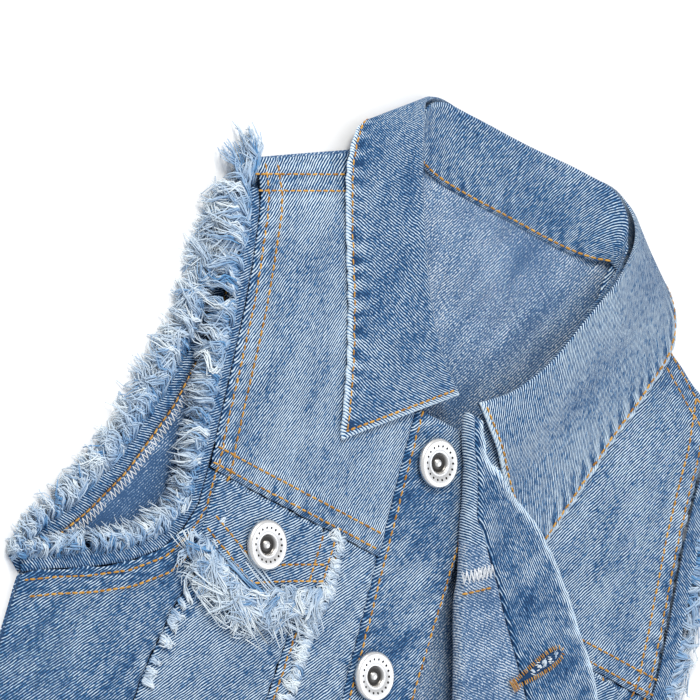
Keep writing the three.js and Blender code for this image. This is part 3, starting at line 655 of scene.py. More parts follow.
@dataclass
class Line:
    """A seam or row in the plan: a polyline that can be offset, resampled and measured from."""

    points: Array

    def __post_init__(self) -> None:
        """Measure the line's steps once."""
        self.points = np.asarray(self.points, float)
        self.steps = np.linalg.norm(np.diff(self.points, axis=0), axis=1)
        self.along = np.concatenate([[0], np.cumsum(self.steps)])

    @property
    def length(self) -> float:
        """Length along the line."""
        return float(self.along[-1])

    def at(self, distance: Array) -> Array:
        """Places at distances along the line."""
        return np.stack([np.interp(distance, self.along, self.points[:, k]) for k in (0, 1)], axis=-1)

    def offset(self, distance: float) -> "Line":
        """The same line moved to its left by a distance.

        Args:
            distance: millimetres to the left of its run, negative to the right.

        Returns:
            The new line.
        """
        dense = self.at(np.linspace(0, self.length, max(8, int(self.length / 3))))
        return Line(dense + distance * left_of(unit(np.gradient(dense, axis=0))))

    def measure(self, x: Array, y: Array) -> tuple[Array, Array]:
        """Distance of plan points from the line, and how far along it their nearest place is.

        Args:
            x: plan x in millimetres.
            y: plan y in millimetres, in step with x.

        Returns:
            Distances from the line, and distances along it.
        """
        best = np.full(x.shape, 1e9)
        place = np.zeros(x.shape)
        for k in range(len(self.steps)):
            a, b = self.points[k], self.points[k + 1]
            step = max(self.steps[k], 1e-9)
            t = np.clip(((x - a[0]) * (b[0] - a[0]) + (y - a[1]) * (b[1] - a[1])) / step**2, 0, 1)
            away = np.hypot(x - a[0] - t * (b[0] - a[0]), y - a[1] - t * (b[1] - a[1]))
            nearer = away < best
            best = np.where(nearer, away, best)
            place = np.where(nearer, self.along[k] + t * step, place)
        return best, place


def by_y(edge: Callable[[Array], Array], low: float, high: float, shift: float = 0.0) -> Line:
    """A line that follows an edge given as x against y."""
    y = np.linspace(low, high, max(4, int(abs(high - low) / 4)))
    return Line(np.stack([edge(y) + shift, y], axis=1))


def ripple(away: Array, along: Array, drift: Array, pitch: float) -> Array:
    """A wave along a seam that dies out away from it and wanders with a slow drift."""
    wave = np.sin(2 * math.pi * (along + 3.2 * drift + 0.5 * away) / pitch)
    return wave * np.exp(-((away / 7.5) ** 2)) * (0.7 + 0.5 * drift)


def puckers(x: Array, y: Array, seams: Sequence[Line], seed: int) -> tuple[Array, Array]:
    """Ripples that a shrunken seam draws in the cloth beside it.

    Args:
        x: plan x in millimetres.
        y: plan y in millimetres, in step with x.
        seams: lines that draw the cloth.
        seed: start of the random draws.

    Returns:
        Height in millimetres, and the mark from -1 in troughs to 1 on worn ridges.
    """
    height = np.zeros(x.shape)
    drift = wave_noise(x, y, 34, seed)
    for number, seam in enumerate(seams):
        away, along = seam.measure(x, y)
        height = height + ripple(away, along, drift, 7.2 + 1.2 * math.sin(number * 2.3 + seed))
    height = np.clip(height, -PUCKER_LIMIT, PUCKER_LIMIT)
    return PUCKER_HEIGHT * height, height


def whiskers(x: Array, y: Array, seed: int) -> Array:
    """Pale streaks that wear leaves along short creases, longer up the garment than across.

    Args:
        x: plan x in millimetres.
        y: plan y in millimetres, in step with x.
        seed: start of the random draws.

    Returns:
        Paleness to add, about -1 to 1.
    """
    lean = math.radians(68)
    across = x * math.sin(lean) - y * math.cos(lean)
    along = x * math.cos(lean) + y * math.sin(lean)
    streak = wave_noise(across, along * 0.22, 13, seed + 300, 2)
    return streak * (0.5 + 0.5 * wave_noise(x, y, 80, seed + 301))


class Grain(Enum):
    """How the wales of a piece lean, in degrees to the garment's width."""

    YOKE_LEFT = 70.0
    FRONT_LEFT = 50.0
    PLACKET = 56.0
    BODY = 58.0
    BAND = 12.0
    FACING = 142.0
    FLAP = 40.0


@dataclass
class Shell:
    """A thin shell of cloth over a grid of points, closed with a rounded rim.

    Attributes:
        points: (rows, columns, 3) outer face in garment millimetres.
        thick: cloth thickness.
        wear: values on the same grid for the denim finish.
        cut: (rows, columns, 2) place in the flat cut.
        shade: painted shade, how much darker the shell is drawn all over; its under face and rim are darker
            still.
        flip: true where the grid runs the other way round, so that its normals point down.
    """

    name: str
    points: Array
    thick: float
    wear: Array
    cut: Array
    shade: float = 0.0
    flip: bool = False

    def build(self) -> bpy.types.Object:
        """Round the rim over, add the under face and the edge faces, and make the object.

        Returns:
            The object, without a material.
        """
        top = self.points.copy()
        rows, columns = top.shape[:2]
        normal = grid_normals(top) * (-1 if self.flip else 1)
        from_left, from_low = grid_length(top, 1), grid_length(top, 0)
        far = [from_left, from_left[:, -1:] - from_left, from_low, from_low[-1:, :] - from_low]
        bend = sum(np.exp(-((d / 0.75) ** 2)) for d in far)
        under = top - normal * self.thick
        top = top - normal * (0.5 * self.thick * np.minimum(bend, 1.0))[..., None]
        under[..., 2] = np.maximum(under[..., 2], SEAT)
        count = rows * columns
        number = np.arange(count).reshape(rows, columns)
        face = np.stack(
            [number[:-1, :-1], number[:-1, 1:], number[1:, 1:], number[1:, :-1]], -1
        ).reshape(-1, 4)
        ring = np.concatenate([number[0, :-1], number[:-1, -1], number[-1, :0:-1], number[:0:-1, 0]])
        after = np.roll(ring, -1)
        rim = np.stack([ring, ring + count, after + count, after], axis=1)
        points = np.concatenate([top.reshape(-1, 3), under.reshape(-1, 3)])
        sharp = np.zeros(2 * count, bool)
        sharp[ring + count] = True
        wear = np.concatenate([self.wear.ravel(), self.wear.ravel()])
        shade = np.repeat([self.shade, self.shade + UNDER_SHADE], count)
        cut = np.concatenate([self.cut.reshape(-1, 2)] * 2)
        return new_mesh(
            self.name, points, [face, face[:, ::-1] + count, rim], {"wear": wear, "shade": shade}, cut, sharp
        )


def turned(u: Array, v: Array, degrees: float) -> Array:
    """A place in the cut turned so that the grain leans by a further angle."""
    a = math.radians(degrees)
    return np.stack([u * math.cos(a) - v * math.sin(a), u * math.sin(a) + v * math.cos(a)], axis=-1)


@dataclass
class Panel:
    """One flat-laid piece between two edges that are functions of y.

    Attributes:
        node: the solid that it replaces.
        inner, outer: x of the piece's two sides, from small x to large.
        low, high: its lower and upper y.
        top: height of its outer face over the plan.
        seams: lines whose puckers it shows.
        thick: cloth thickness.
        lift: how far its outer face stands over the given height.
        grain: lean of its wales in degrees.
        inside_up: true where its wrong side is the upper face.
        step: spacing of its points.
        seed: start of its waves.
        paleness: how much paler it is than the rest.
        upper: its upper edge at x, where that isn't straight.
        laps: a line, the width of the raised lap beside it and the lap's height.
    """

    node: str
    inner: Callable[[Array], Array]
    outer: Callable[[Array], Array]
    low: float
    high: float
    top: Callable[[Array, Array], Array]
    seams: Sequence[Line] = ()
    thick: float = CLOTH
    lift: float = 0.0
    grain: float = WALE_LEAN
    inside_up: bool = False
    step: float = 2.3
    seed: int = 1
    paleness: float = 0.0
    upper: Callable[[Array], Array] | None = None
    laps: Sequence[tuple[Line, float, float]] = ()

    def relief(self, x: Array, y: Array) -> tuple[Array, Array]:
        """Height of the outer face at plan points, and the seam marks there.

        Args:
            x: plan x in millimetres.
            y: plan y in millimetres, in step with x.

        Returns:
            Heights in millimetres, and marks from -1 in troughs to 1 on ridges.
        """
        height, mark = puckers(x, y, self.seams, self.seed)
        z = self.top(x, y) + self.lift + height + 0.22 * wave_noise(x, y, 26, self.seed + 40)
        for line, width, raised in self.laps:
            away, _ = line.measure(x, y)
            z = z + raised * (1 - smooth(width, width + 2.2, away))
        return z, mark

    def height(self, x: Array, y: Array) -> Array:
        """Height of the outer face at plan points."""
        return self.relief(x, y)[0]

    def grid(self) -> tuple[Array, Array]:
        """Plan places of the piece's points, as (rows, columns) arrays of x and y.

        Returns:
            The two arrays.
        """
        ys = self.low + (self.high - self.low) * edge_stops(abs(self.high - self.low), self.step)
        mean = float(np.mean(np.abs(self.outer(ys) - self.inner(ys))))
        shares = edge_stops(mean, self.step)
        x0, x1 = self.inner(ys)[:, None], self.outer(ys)[:, None]
        x = x0 + (x1 - x0) * shares[None, :]
        y = np.repeat(ys[:, None], len(shares), axis=1)
        if self.upper is not None:
            reach = self.upper(x[-1])
            y = self.low + (y - self.low) * ((reach - self.low) / (self.high - self.low))[None, :]
            x0 = self.inner(y)
            x = x0 + (self.outer(y) - x0) * shares[None, :]
        return x, y

    def build(self) -> bpy.types.Object:
        """Make the shell with its puckers, wear and cut.

        Returns:
            The object.
        """
        x, y = self.grid()
        z, mark = self.relief(x, y)
        soft = wave_noise(x, y, 70, self.seed + 90)
        points = np.stack([x, y, z], axis=-1)
        for line, width, _ in self.laps:
            away, _ = line.measure(x, y)
            mark = mark + 0.5 * np.exp(-(((away - width - 0.5) / 1.8) ** 2)) * (0.6 + 0.5 * soft)
            # Painted shade: each stitch row of a lap is drawn darker, as if sunk in a groove
            for row in (1.8, width - 1.2):
                mark = mark - 0.5 * np.exp(-(((away - row) / 0.9) ** 2))
        wear = self.paleness + 0.13 * soft + 0.5 * np.maximum(mark, -0.7) + 0.3 * whiskers(x, y, self.seed)
        obj = Shell(
            self.node, points, self.thick, wear, turned(x, y, WALE_LEAN - self.grain)
        ).build()
        cloth(obj, self.node)
        if self.inside_up:
            upper = (points.shape[0] - 1) * (points.shape[1] - 1)
            second_finish(obj, "denim_inside", np.ones(upper, int))
        return obj


def cloth(obj: bpy.types.Object, node: str,
          slot: str = "denim") -> bpy.types.Object:
    """Attach a shell that replaces its solid, hide the solid and give the shell its finish.

    Args:
        obj: the shell.
        node: the solid it stands for.
        slot: the record's material slot.

    Returns:
        The shell.
    """
    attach(obj, "root")
    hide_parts(node)
    obj.data.materials.append(MATERIALS[slot])
    return obj


MATERIALS: dict[str, bpy.types.Material] = {}


def plain_piece(obj: bpy.types.Object, material: str) -> bpy.types.Object:
    """Attach a small piece to the garment with its finish.

    Args:
        obj: the piece.
        material: name of its finish.

    Returns:
        The piece.
    """
    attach(obj, "root")
    obj.data.materials.append(MATERIALS[material])
    return obj


def second_finish(obj: bpy.types.Object, slot: str, chosen: Array) -> None:
    """Give some faces of a shell another finish.

    Args:
        obj: the shell.
        slot: name of the finish.
        chosen: 1 for each face that has it and 0 for the others, from the first face on.
    """
    obj.data.materials.append(MATERIALS[slot])
    faces = np.zeros(len(obj.data.polygons), int)
    faces[: len(chosen)] = chosen
    obj.data.polygons.foreach_set("material_index", faces)


@dataclass
class Stitching:
    """Rows of topstitching, joined in one mesh.

    A stitch is a short bead: five rings of four sides along its length, thin at both ends where the
    thread dives into the cloth, thick in the middle.
    """

    name: str
    material: str
    width: float = STITCH_WIDTH
    pitch: float = STITCH_PITCH
    length: float = STITCH_LENGTH
    places: list[Array] = field(default_factory=list)
    ahead: list[Array] = field(default_factory=list)
    up: list[Array] = field(default_factory=list)

    RINGS = np.array(
        [[-0.5, 0.3, -0.5], [-0.36, 0.9, 0.1], [0.0, 1.0, 0.35], [0.36, 0.9, 0.1], [0.5, 0.3, -0.5]]
    )
    SIDES = 4

    def row(self, line: Line, top: Callable[[Array, Array], Array], rise: float = 0.0, start: float = 0.0,
            end: float | None = None) -> None:
        """Add a row along a plan line on a surface of the given height.

        Args:
            line: plan line.
            top: height of the surface over the plan.
            rise: height over that surface.
            start: distance along the line where the row starts.
            end: distance where it ends, or None for the line's end.
        """
        last = line.length if end is None else min(end, line.length)
        if last - start < self.pitch:
            return
        middle = np.arange(start + self.pitch / 2, last, self.pitch)
        a, b = line.at(middle - self.length / 2), line.at(middle + self.length / 2)
        low, high = on_surface(a, top, rise), on_surface(b, top, rise)
        self.segments(low, high, np.tile(UP, (len(low), 1)))

    def path(self, points: Array, normals: Array) -> None:
        """Add a row along 3-D points that carry their surface's normals.

        Args:
            points: (n, 3) places.
            normals: (n, 3) unit normals.
        """
        along = run_length(points)
        middle = np.arange(self.pitch / 2, along[-1], self.pitch)

        def pick(distance: Array, data: Array) -> Array:
            """The data's rows at distances along the path."""
            return np.stack([np.interp(distance, along, data[:, k]) for k in range(3)], axis=-1)

        self.segments(
            pick(middle - self.length / 2, points), pick(middle + self.length / 2, points),
            pick(middle, normals)
        )

    def segments(self, low: Array, high: Array, up: Array) -> None:
        """Add stitches from low ends to high ends.

        Args:
            low: (n, 3) starts.
            high: (n, 3) ends.
            up: (n, 3) unit normals.
        """
        self.places.append((low + high) / 2)
        self.ahead.append(high - low)
        self.up.append(up)

    def build(self) -> bpy.types.Object | None:
        """Join all stitches into one object.

        Returns:
            The object, or None where there are no stitches.
        """
        if not self.places:
            return None
        place, ahead, up = (np.concatenate(data) for data in (self.places, self.ahead, self.up))
        count = len(place)
        rng = np.random.default_rng(count)
        side = unit(np.cross(up, ahead))
        ahead = ahead + side * rng.normal(0, 0.14, (count, 1))
        radius = self.width / 2 * rng.uniform(0.88, 1.12, count)
        angles = np.arange(self.SIDES) * 2 * math.pi / self.SIDES + 0.3
        rings = self.RINGS
        centre = place[:, None] + ahead[:, None] * rings[None, :, :1] + up[:, None] * (
            rings[None, :, 2:] * radius[:, None, None]
        )
        ring_radius = radius[:, None] * rings[None, :, 1]
        points = (
            centre[:, :, None]
            + side[:, None, None] * (ring_radius[:, :, None] * np.cos(angles))[..., None]
            + up[:, None, None] * (ring_radius[:, :, None] * 0.8 * np.sin(angles))[..., None]
        )
        per = len(rings) * self.SIDES
        faces = tube_faces(count, len(rings), self.SIDES)
        tone = np.repeat(np.clip(rng.normal(0.55, 0.25, count), 0, 1), per)
        obj = new_mesh(self.name, points.reshape(-1, 3), faces, {"tone": tone})
        return plain_piece(obj, self.material)


def tube_faces(count: int, rings: int, sides: int) -> list[Array]:
    """Side faces and end caps of many tubes whose points are ordered tube, ring, side.

    Args:
        count: number of tubes.
        rings: rings on each.
        sides: points on each ring.

    Returns:
        Arrays of vertex numbers: the sides, then both caps.
    """
    base = np.arange(count)[:, None, None] * rings * sides
    ring = np.arange(rings - 1)[None, :, None] * sides
    here = np.arange(sides)[None, None, :]
    after = (here + 1) % sides
    quads = np.stack(
        [base + ring + here, base + ring + after, base + ring + sides + after, base + ring + sides + here],
        axis=-1
    ).reshape(-1, 4)
    first = base[:, 0] + np.arange(sides)[None, ::-1]
    last = base[:, 0] + (rings - 1) * sides + np.arange(sides)[None, :]
    if sides == 3:
        return [quads, first, last]
    fan = np.array([[0, k, k + 1] for k in range(1, sides - 1)])
    return [quads, first[:, fan].reshape(-1, 3), last[:, fan].reshape(-1, 3)]


@dataclass
class Threads:
    """Loose frayed threads, joined in one mesh: each is a curling three-sided tube.

    They hang in locks, whose threads start at one place and curl alike.

    A thread's middle line leaves its root outwards, swings to the side by a slow curl whose size
    grows along it, and rises and falls back. Its tone runs from the root's to the tip's.
    """

    name: str
    seed: int
    knots: int = 7
    radius: float = THREAD_RADIUS
    centres: list[Array] = field(default_factory=list)
    tones: list[Array] = field(default_factory=list)

    def __post_init__(self) -> None:
        """Start the seeded random draws."""
        self.random = np.random.default_rng(self.seed)

    def spray(
        self, root: Array, out: Array, reach: Array, curl: float = 0.2, rise: float = 2.5,
        lean: float = 0.26, floor: float = 0.5, pale: float = 0.42
    ) -> None:
        """Add threads.

        Args:
            root: (n, 3) starting places, one for each lock.
            out: (n, 2) unit directions away from the cloth in the plan.
            reach: (n,) lengths.
            curl: sideways swing as a share of the reach.
            rise: how high the middle of a thread stands over its root at most.
            lean: spread of the directions, in radians.
            floor: lowest height of a thread's middle line.
            pale: middle tone of the threads.
        """
        rng, per = self.random, LOCK_THREADS
        root, out, reach = (np.repeat(data, per, axis=0) for data in (root, out, reach))
        n = len(root)

        def each(data: Array) -> Array:
            """One value for each lock, repeated for its threads."""
            return np.repeat(data, per, axis=0)

        beside = left_of(out)
        root = root.astype(float)
        spread = rng.normal(0, 0.75, (n, 1))
        root[:, :2] += beside * spread + out * rng.uniform(-1.0, 1.0, (n, 1))
        reach = reach * rng.uniform(0.78, 1.08, n)
        turn = each(rng.normal(0, 0.95 * lean, n // per)) + rng.normal(0, 0.03, n)
        c, s = np.cos(turn), np.sin(turn)
        ahead = np.stack([out[:, 0] * c - out[:, 1] * s, out[:, 0] * s + out[:, 1] * c], axis=1)
        side = left_of(ahead)
        t = np.linspace(0, 1, self.knots)[None, :]
        waves = each(rng.uniform(0.5, 1.5, (n // per, 1))) * rng.uniform(0.95, 1.05, (n, 1))
        phase = each(rng.uniform(0, 2 * math.pi, (n // per, 1))) + rng.normal(0, 0.14, (n, 1))
        swing = each(rng.normal(0, curl, (n // per, 1))) * rng.normal(1, 0.12, (n, 1)) * reach[:, None] * (
            np.sin(2 * math.pi * waves * t + phase) - np.sin(phase)
        ) * t**0.6
        swing = swing - spread * 0.6 * t + 0.3 * np.sin(2 * math.pi * reach[:, None] * t / 6.5 + phase)
        back = 1 - rng.uniform(0, 0.5, (n, 1)) * t**2
        plan = (
            root[:, None, :2] + ahead[:, None] * (reach[:, None] * t * back)[..., None]
            + side[:, None] * swing[..., None]
        )
        hop = (each(rng.uniform(0, 1, (n // per, 1))) + rng.uniform(0, 0.25, (n, 1))) * rise
        z = (
            root[:, 2:] + hop * np.sin(math.pi * t * rng.uniform(0.6, 1.1, (n, 1)))
            - (root[:, 2:] - floor) * 0.75 * t**1.5
        )
        z = np.maximum(z, floor)
        self.centres.append(np.concatenate([plan, z[..., None]], axis=-1))
        # The last term is painted shade: each thread is drawn darker towards its root, deep in the fringe,
        # and paler to its tip.
        tone = each(rng.normal(pale, 0.2, (n // per, 1))) + rng.normal(0, 0.09, (n, 1)) + 0.55 * (t - 0.45)
        tone = np.clip(tone, 0, 1)
        self.tones.append(tone)

    def build(self, node: str | None = None) -> bpy.types.Object:
        """Join the threads into one object, which may stand for a solid.

        Args:
            node: the solid that the threads stand for, if any.

        Returns:
            The object.
        """
        centre = np.concatenate(self.centres)
        tone = np.concatenate(self.tones)
        count = len(centre)
        ahead = unit(np.gradient(centre, axis=1))
        side = unit(np.cross(ahead, UP))
        up = np.cross(side, ahead)
        radius = (
            self.radius * self.random.uniform(0.7, 1.3, (count, 1))
            * np.linspace(1.1, 0.7, self.knots)[None]
        )
        angles = np.arange(3) * 2 * math.pi / 3 + 0.5
        points = (
            centre[:, :, None]
            + side[:, :, None] * (radius[..., None] * np.cos(angles))[..., None]
            + up[:, :, None] * (radius[..., None] * np.sin(angles))[..., None]
        )
        obj = new_mesh(
            self.name, points.reshape(-1, 3), tube_faces(count, self.knots, 3),
            {"tone": np.repeat(tone.ravel(), 3)}
        )
        plain_piece(obj, "fringe")
        if node:
            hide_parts(node)
        return obj


def arm_line(rows: Sequence[tuple[float, float]], side: int) -> Line:
    """An armhole's edge as a line from the shoulder to the underarm."""
    return Line([(side * x, y) for y, x in rows])


LEFT_ARM = arm_line(FRONT_ARMHOLE, -1)
RIGHT_ARM = arm_line(FRONT_ARMHOLE_RIGHT, 1)
LEFT_YOKE_SEAM = Line([(-111, YOKE_Y), (-17, YOKE_Y)])
RIGHT_YOKE_SEAM = Line([(32, YOKE_Y), (140, YOKE_Y)])
LEFT_V_OUTER = by_y(lambda y: -v_outer(y), YOKE_Y, WAIST_SEAM_Y)
LEFT_V_INNER = by_y(lambda y: -v_inner(y), YOKE_Y, WAIST_SEAM_Y)
RIGHT_V_OUTER = by_y(lambda y: v_outer(y) + RIGHT_SEAM_DRAW, YOKE_Y, WAIST_SEAM_Y)
PLACKET_SEAM = by_y(placket_inner, PLACKET_TOP_Y, WAIST_SEAM_Y)
PLACKET_FRONT = Line([(PLACKET_EDGE_X, PLACKET_TOP_Y), (PLACKET_EDGE_X, HEM_Y)])
LEFT_SHOULDER_SEAM = Line([(-131, 36.0), (-60, 64.9)])
RIGHT_SHOULDER_SEAM = Line([(60, 80.3), (131, 35.5)])
WAIST_LINE = Line([(-HALF_WIDTH, WAIST_SEAM_Y), (HALF_WIDTH, WAIST_SEAM_Y)])


def shoulder_top(x: Array) -> Array:
    """Upper edge of a front yoke at x."""
    return shoulder_y(np.clip(np.abs(x), NECK_POINT[0], SHOULDER_TIP_X)) - SHOULDER_GAP


def neck_side(edge: Callable[[Array], Array]) -> Callable[[Array], Array]:
    """Distance of a yoke's inner edge from the centre line: the front edge, then the neck seam."""
    at_end = float(edge(np.array(NECK_END_Y)))
    return lambda y: np.where(y < NECK_END_Y, edge(y), np.maximum(at_end, front_neck(y)))


@dataclass
class Back:
    """The whole back: yoke, centre, two sides and waistband, one thickness flat on the table."""

    def seam(self, y: Array) -> Array:
        """Half distance between the back's two long seams."""
        return 46 + 26 * (y - WAIST_SEAM_Y) / (BACK_YOKE_Y - WAIST_SEAM_Y)

    def build(self) -> None:
        """Make the five panels."""
        low = WAIST_SEAM_Y + GAP
        yoke_seam = Line([(-124, BACK_YOKE_Y), (124, BACK_YOKE_Y)])
        arms = [arm_line(BACK_ARMHOLE, side) for side in (-1, 1)]
        seams = [yoke_seam, *arms]

        def yoke_upper(x: Array) -> Array:
            """The yoke's upper edge: the shoulder's slope, cut lower inside the neck."""
            dip = 1 - smooth(NECK_POINT[0] - 8, NECK_POINT[0], np.abs(x))
            return np.minimum(shoulder_y(np.maximum(np.abs(x), NECK_POINT[0])), NECK_POINT[1]) - 8.3 * dip

        def yoke_x(y: Array) -> Array:
            """The yoke's side, which runs straight up above the armhole."""
            return back_armhole(np.minimum(y, ARM_TOP_Y))

        shared = {"step": 4.0, "inside_up": True}
        Panel(
            "back_yoke", lambda y: -yoke_x(y), yoke_x, BACK_YOKE_Y + GAP, SHOULDER_TOP_Y, back_top, seams,
            seed=3, step=3.0, upper=yoke_upper, inside_up=True
        ).build()
        Panel(
            "back_centre", lambda y: -self.seam(y), self.seam, low, BACK_YOKE_Y, back_top, seams, seed=4,
            **shared
        ).build()
        # The back's sides are drawn darker (paleness -0.4): painted shade where they show in the armholes
        # under the fronts
        Panel(
            "back_side_left", lambda y: -back_side(y), lambda y: -self.seam(y) - GAP, low, BACK_YOKE_Y,
            back_top, seams, seed=5, paleness=-0.4, **shared
        ).build()
        Panel(
            "back_side_right", lambda y: self.seam(y) + GAP, back_side, low, BACK_YOKE_Y, back_top, seams,
            seed=6, paleness=-0.4, **shared
        ).build()
        Panel(
            "back_waistband", lambda y: -half_width(y), half_width, HEM_Y, WAIST_SEAM_Y, back_top, seed=7,
            **shared
        ).build()


@dataclass
class LeftFront:
    """The buttoned-side front: yoke, three panels, placket and waistband."""

    stitching: Stitching

    def build(self) -> None:
        """Make the pieces and their topstitching."""
        low = WAIST_SEAM_Y + GAP

        def edge(y: Array) -> Array:
            """Distance of the placket's inner side from the centre line."""
            return -(placket_inner(y) - GAP)

        neck = neck_side(edge)
        seams = [LEFT_ARM, LEFT_YOKE_SEAM]
        laps = [(LEFT_ARM, *ARM_LAP)]
        shoulder_lap = LEFT_SHOULDER_SEAM.offset(SHOULDER_LAP[0])
        yoke = Panel(
            "front_yoke_left", lambda y: -np.where(y > ARM_TOP_Y, SHOULDER_TIP_X, front_armhole(y)),
            lambda y: -neck(y), YOKE_Y + GAP, SHOULDER_TOP_Y - SHOULDER_GAP, front_top, seams, seed=11,
            grain=Grain.YOKE_LEFT.value, upper=shoulder_top,
            laps=[*laps, (LEFT_YOKE_SEAM, *YOKE_LAP), (shoulder_lap, *SHOULDER_LAP)]
        )
        side = Panel(
            "front_side_left", lambda y: front_side(-1, y), lambda y: -v_outer(y) - GAP, low, YOKE_Y,
            front_top, [LEFT_ARM, LEFT_V_OUTER, LEFT_YOKE_SEAM], seed=12, paleness=-0.28,
            grain=Grain.FRONT_LEFT.value, laps=laps
        )
        middle = Panel(
            "front_middle_left", lambda y: -v_outer(y), lambda y: -v_inner(y) - GAP, low, YOKE_Y, front_top,
            [LEFT_V_OUTER, LEFT_V_INNER, LEFT_YOKE_SEAM], seed=13, paleness=-0.05,
            grain=Grain.FRONT_LEFT.value, laps=[(LEFT_V_OUTER, *V_LAP)]
        )
        centre = Panel(
            "front_centre_left", lambda y: -v_inner(y), lambda y: placket_inner(y) - GAP, low, YOKE_Y,
            front_top, [LEFT_V_INNER, PLACKET_SEAM, LEFT_YOKE_SEAM], seed=14, grain=Grain.FRONT_LEFT.value,
            laps=[(LEFT_V_INNER, *V_LAP)]
        )
        placket = Panel(
            "placket_left", placket_inner, lambda y: np.full_like(y, PLACKET_EDGE_X), low, PLACKET_TOP_Y,
            front_top, [PLACKET_SEAM, PLACKET_FRONT], thick=PLACKET_CLOTH, lift=PLACKET_CLOTH - CLOTH,
            seed=15, paleness=-0.26, grain=Grain.PLACKET.value
        )
        band = Panel(
            "waistband_left", lambda y: -half_width(y), lambda y: np.full_like(y, PLACKET_EDGE_X), HEM_Y,
            WAIST_SEAM_Y, front_top, [WAIST_LINE], thick=PLACKET_CLOTH, lift=PLACKET_CLOTH - CLOTH, seed=16,
            grain=Grain.BAND.value
        )
        for piece in (yoke, side, middle, centre, placket, band):
            piece.build()
        sew = self.stitching
        for distance in (ARM_ROW, ARM_ROW + TWIN_GAUGE):
            sew.row(
                LEFT_ARM.offset(distance),
                lambda x, y: np.where(y > YOKE_Y, yoke.height(x, y), side.height(x, y))
            )
            sew.row(LEFT_YOKE_SEAM.offset(distance - 0.6), yoke.height)
        for distance in (SEAM_ROW, SEAM_ROW + TWIN_GAUGE):
            sew.row(LEFT_SHOULDER_SEAM.offset(distance), yoke.height, start=5.0)
        sew.row(PLACKET_SEAM.offset(EDGE_ROW), placket.height)
        sew.row(PLACKET_FRONT.offset(-SEAM_ROW), placket.height)
        for distance in (SEAM_ROW, SEAM_ROW + TWIN_GAUGE):
            sew.row(LEFT_V_INNER.offset(distance), centre.height)
        for y in (HEM_Y + EDGE_ROW, WAIST_SEAM_Y - EDGE_ROW):
            sew.row(Line([(-HALF_HEM, y), (PLACKET_EDGE_X - 3, y)]), band.height)


@dataclass
class RightFront:
    """The front that is turned back: yoke, panels and waistband of its lower layer."""

    stitching: Stitching

    def build(self) -> None:
        """Make the pieces and their topstitching."""
        low = WAIST_SEAM_Y + GAP

        def edge(y: Array) -> Array:
            """The lower layer's inner side, just past the roll."""
            return fold_line(y) + ROLL_OUTER + 0.6

        def seam(y: Array) -> Array:
            """The outer V seam, drawn outwards."""
            return v_outer(y) + RIGHT_SEAM_DRAW

        neck = neck_side(edge)
        seams = [RIGHT_ARM, RIGHT_YOKE_SEAM]
        laps = [(RIGHT_ARM, *ARM_LAP)]
        shoulder_lap = RIGHT_SHOULDER_SEAM.offset(SHOULDER_LAP[0])
        yoke = Panel(
            "front_yoke_right", neck,
            lambda y: np.where(y > ARM_TOP_Y, SHOULDER_TIP_X + 2, front_armhole_right(y)), YOKE_Y + GAP,
            SHOULDER_TOP_Y - SHOULDER_GAP, right_top, seams, seed=21, paleness=-0.08, upper=shoulder_top,
            laps=[*laps, (RIGHT_YOKE_SEAM, *YOKE_LAP), (shoulder_lap, *SHOULDER_LAP)]
        )
        side = Panel(
            "front_side_right", lambda y: seam(y) + GAP, lambda y: front_side(1, y), low, YOKE_Y, right_top,
            [RIGHT_ARM, RIGHT_V_OUTER, RIGHT_YOKE_SEAM], seed=22, laps=laps
        )
        middle = Panel(
            "front_middle_right", edge, seam, low, YOKE_Y, right_top, [RIGHT_V_OUTER, RIGHT_YOKE_SEAM],
            seed=23, laps=[(RIGHT_V_OUTER, *V_LAP)]
        )
        band = Panel(
            "waistband_right", edge, half_width, HEM_Y, WAIST_SEAM_Y, right_top, [WAIST_LINE], seed=24,
            grain=Grain.BAND.value
        )
        for piece in (yoke, side, middle, band):
            piece.build()
        sew = self.stitching
        for distance in (ARM_ROW, ARM_ROW + TWIN_GAUGE):
            sew.row(
                RIGHT_ARM.offset(-distance),
                lambda x, y: np.where(y > YOKE_Y, yoke.height(x, y), side.height(x, y))
            )
            sew.row(RIGHT_YOKE_SEAM.offset(distance - 0.6), yoke.height)
        for distance in (SEAM_ROW, SEAM_ROW + TWIN_GAUGE):
            sew.row(RIGHT_V_OUTER.offset(-distance), middle.height)
            sew.row(RIGHT_SHOULDER_SEAM.offset(distance), yoke.height)


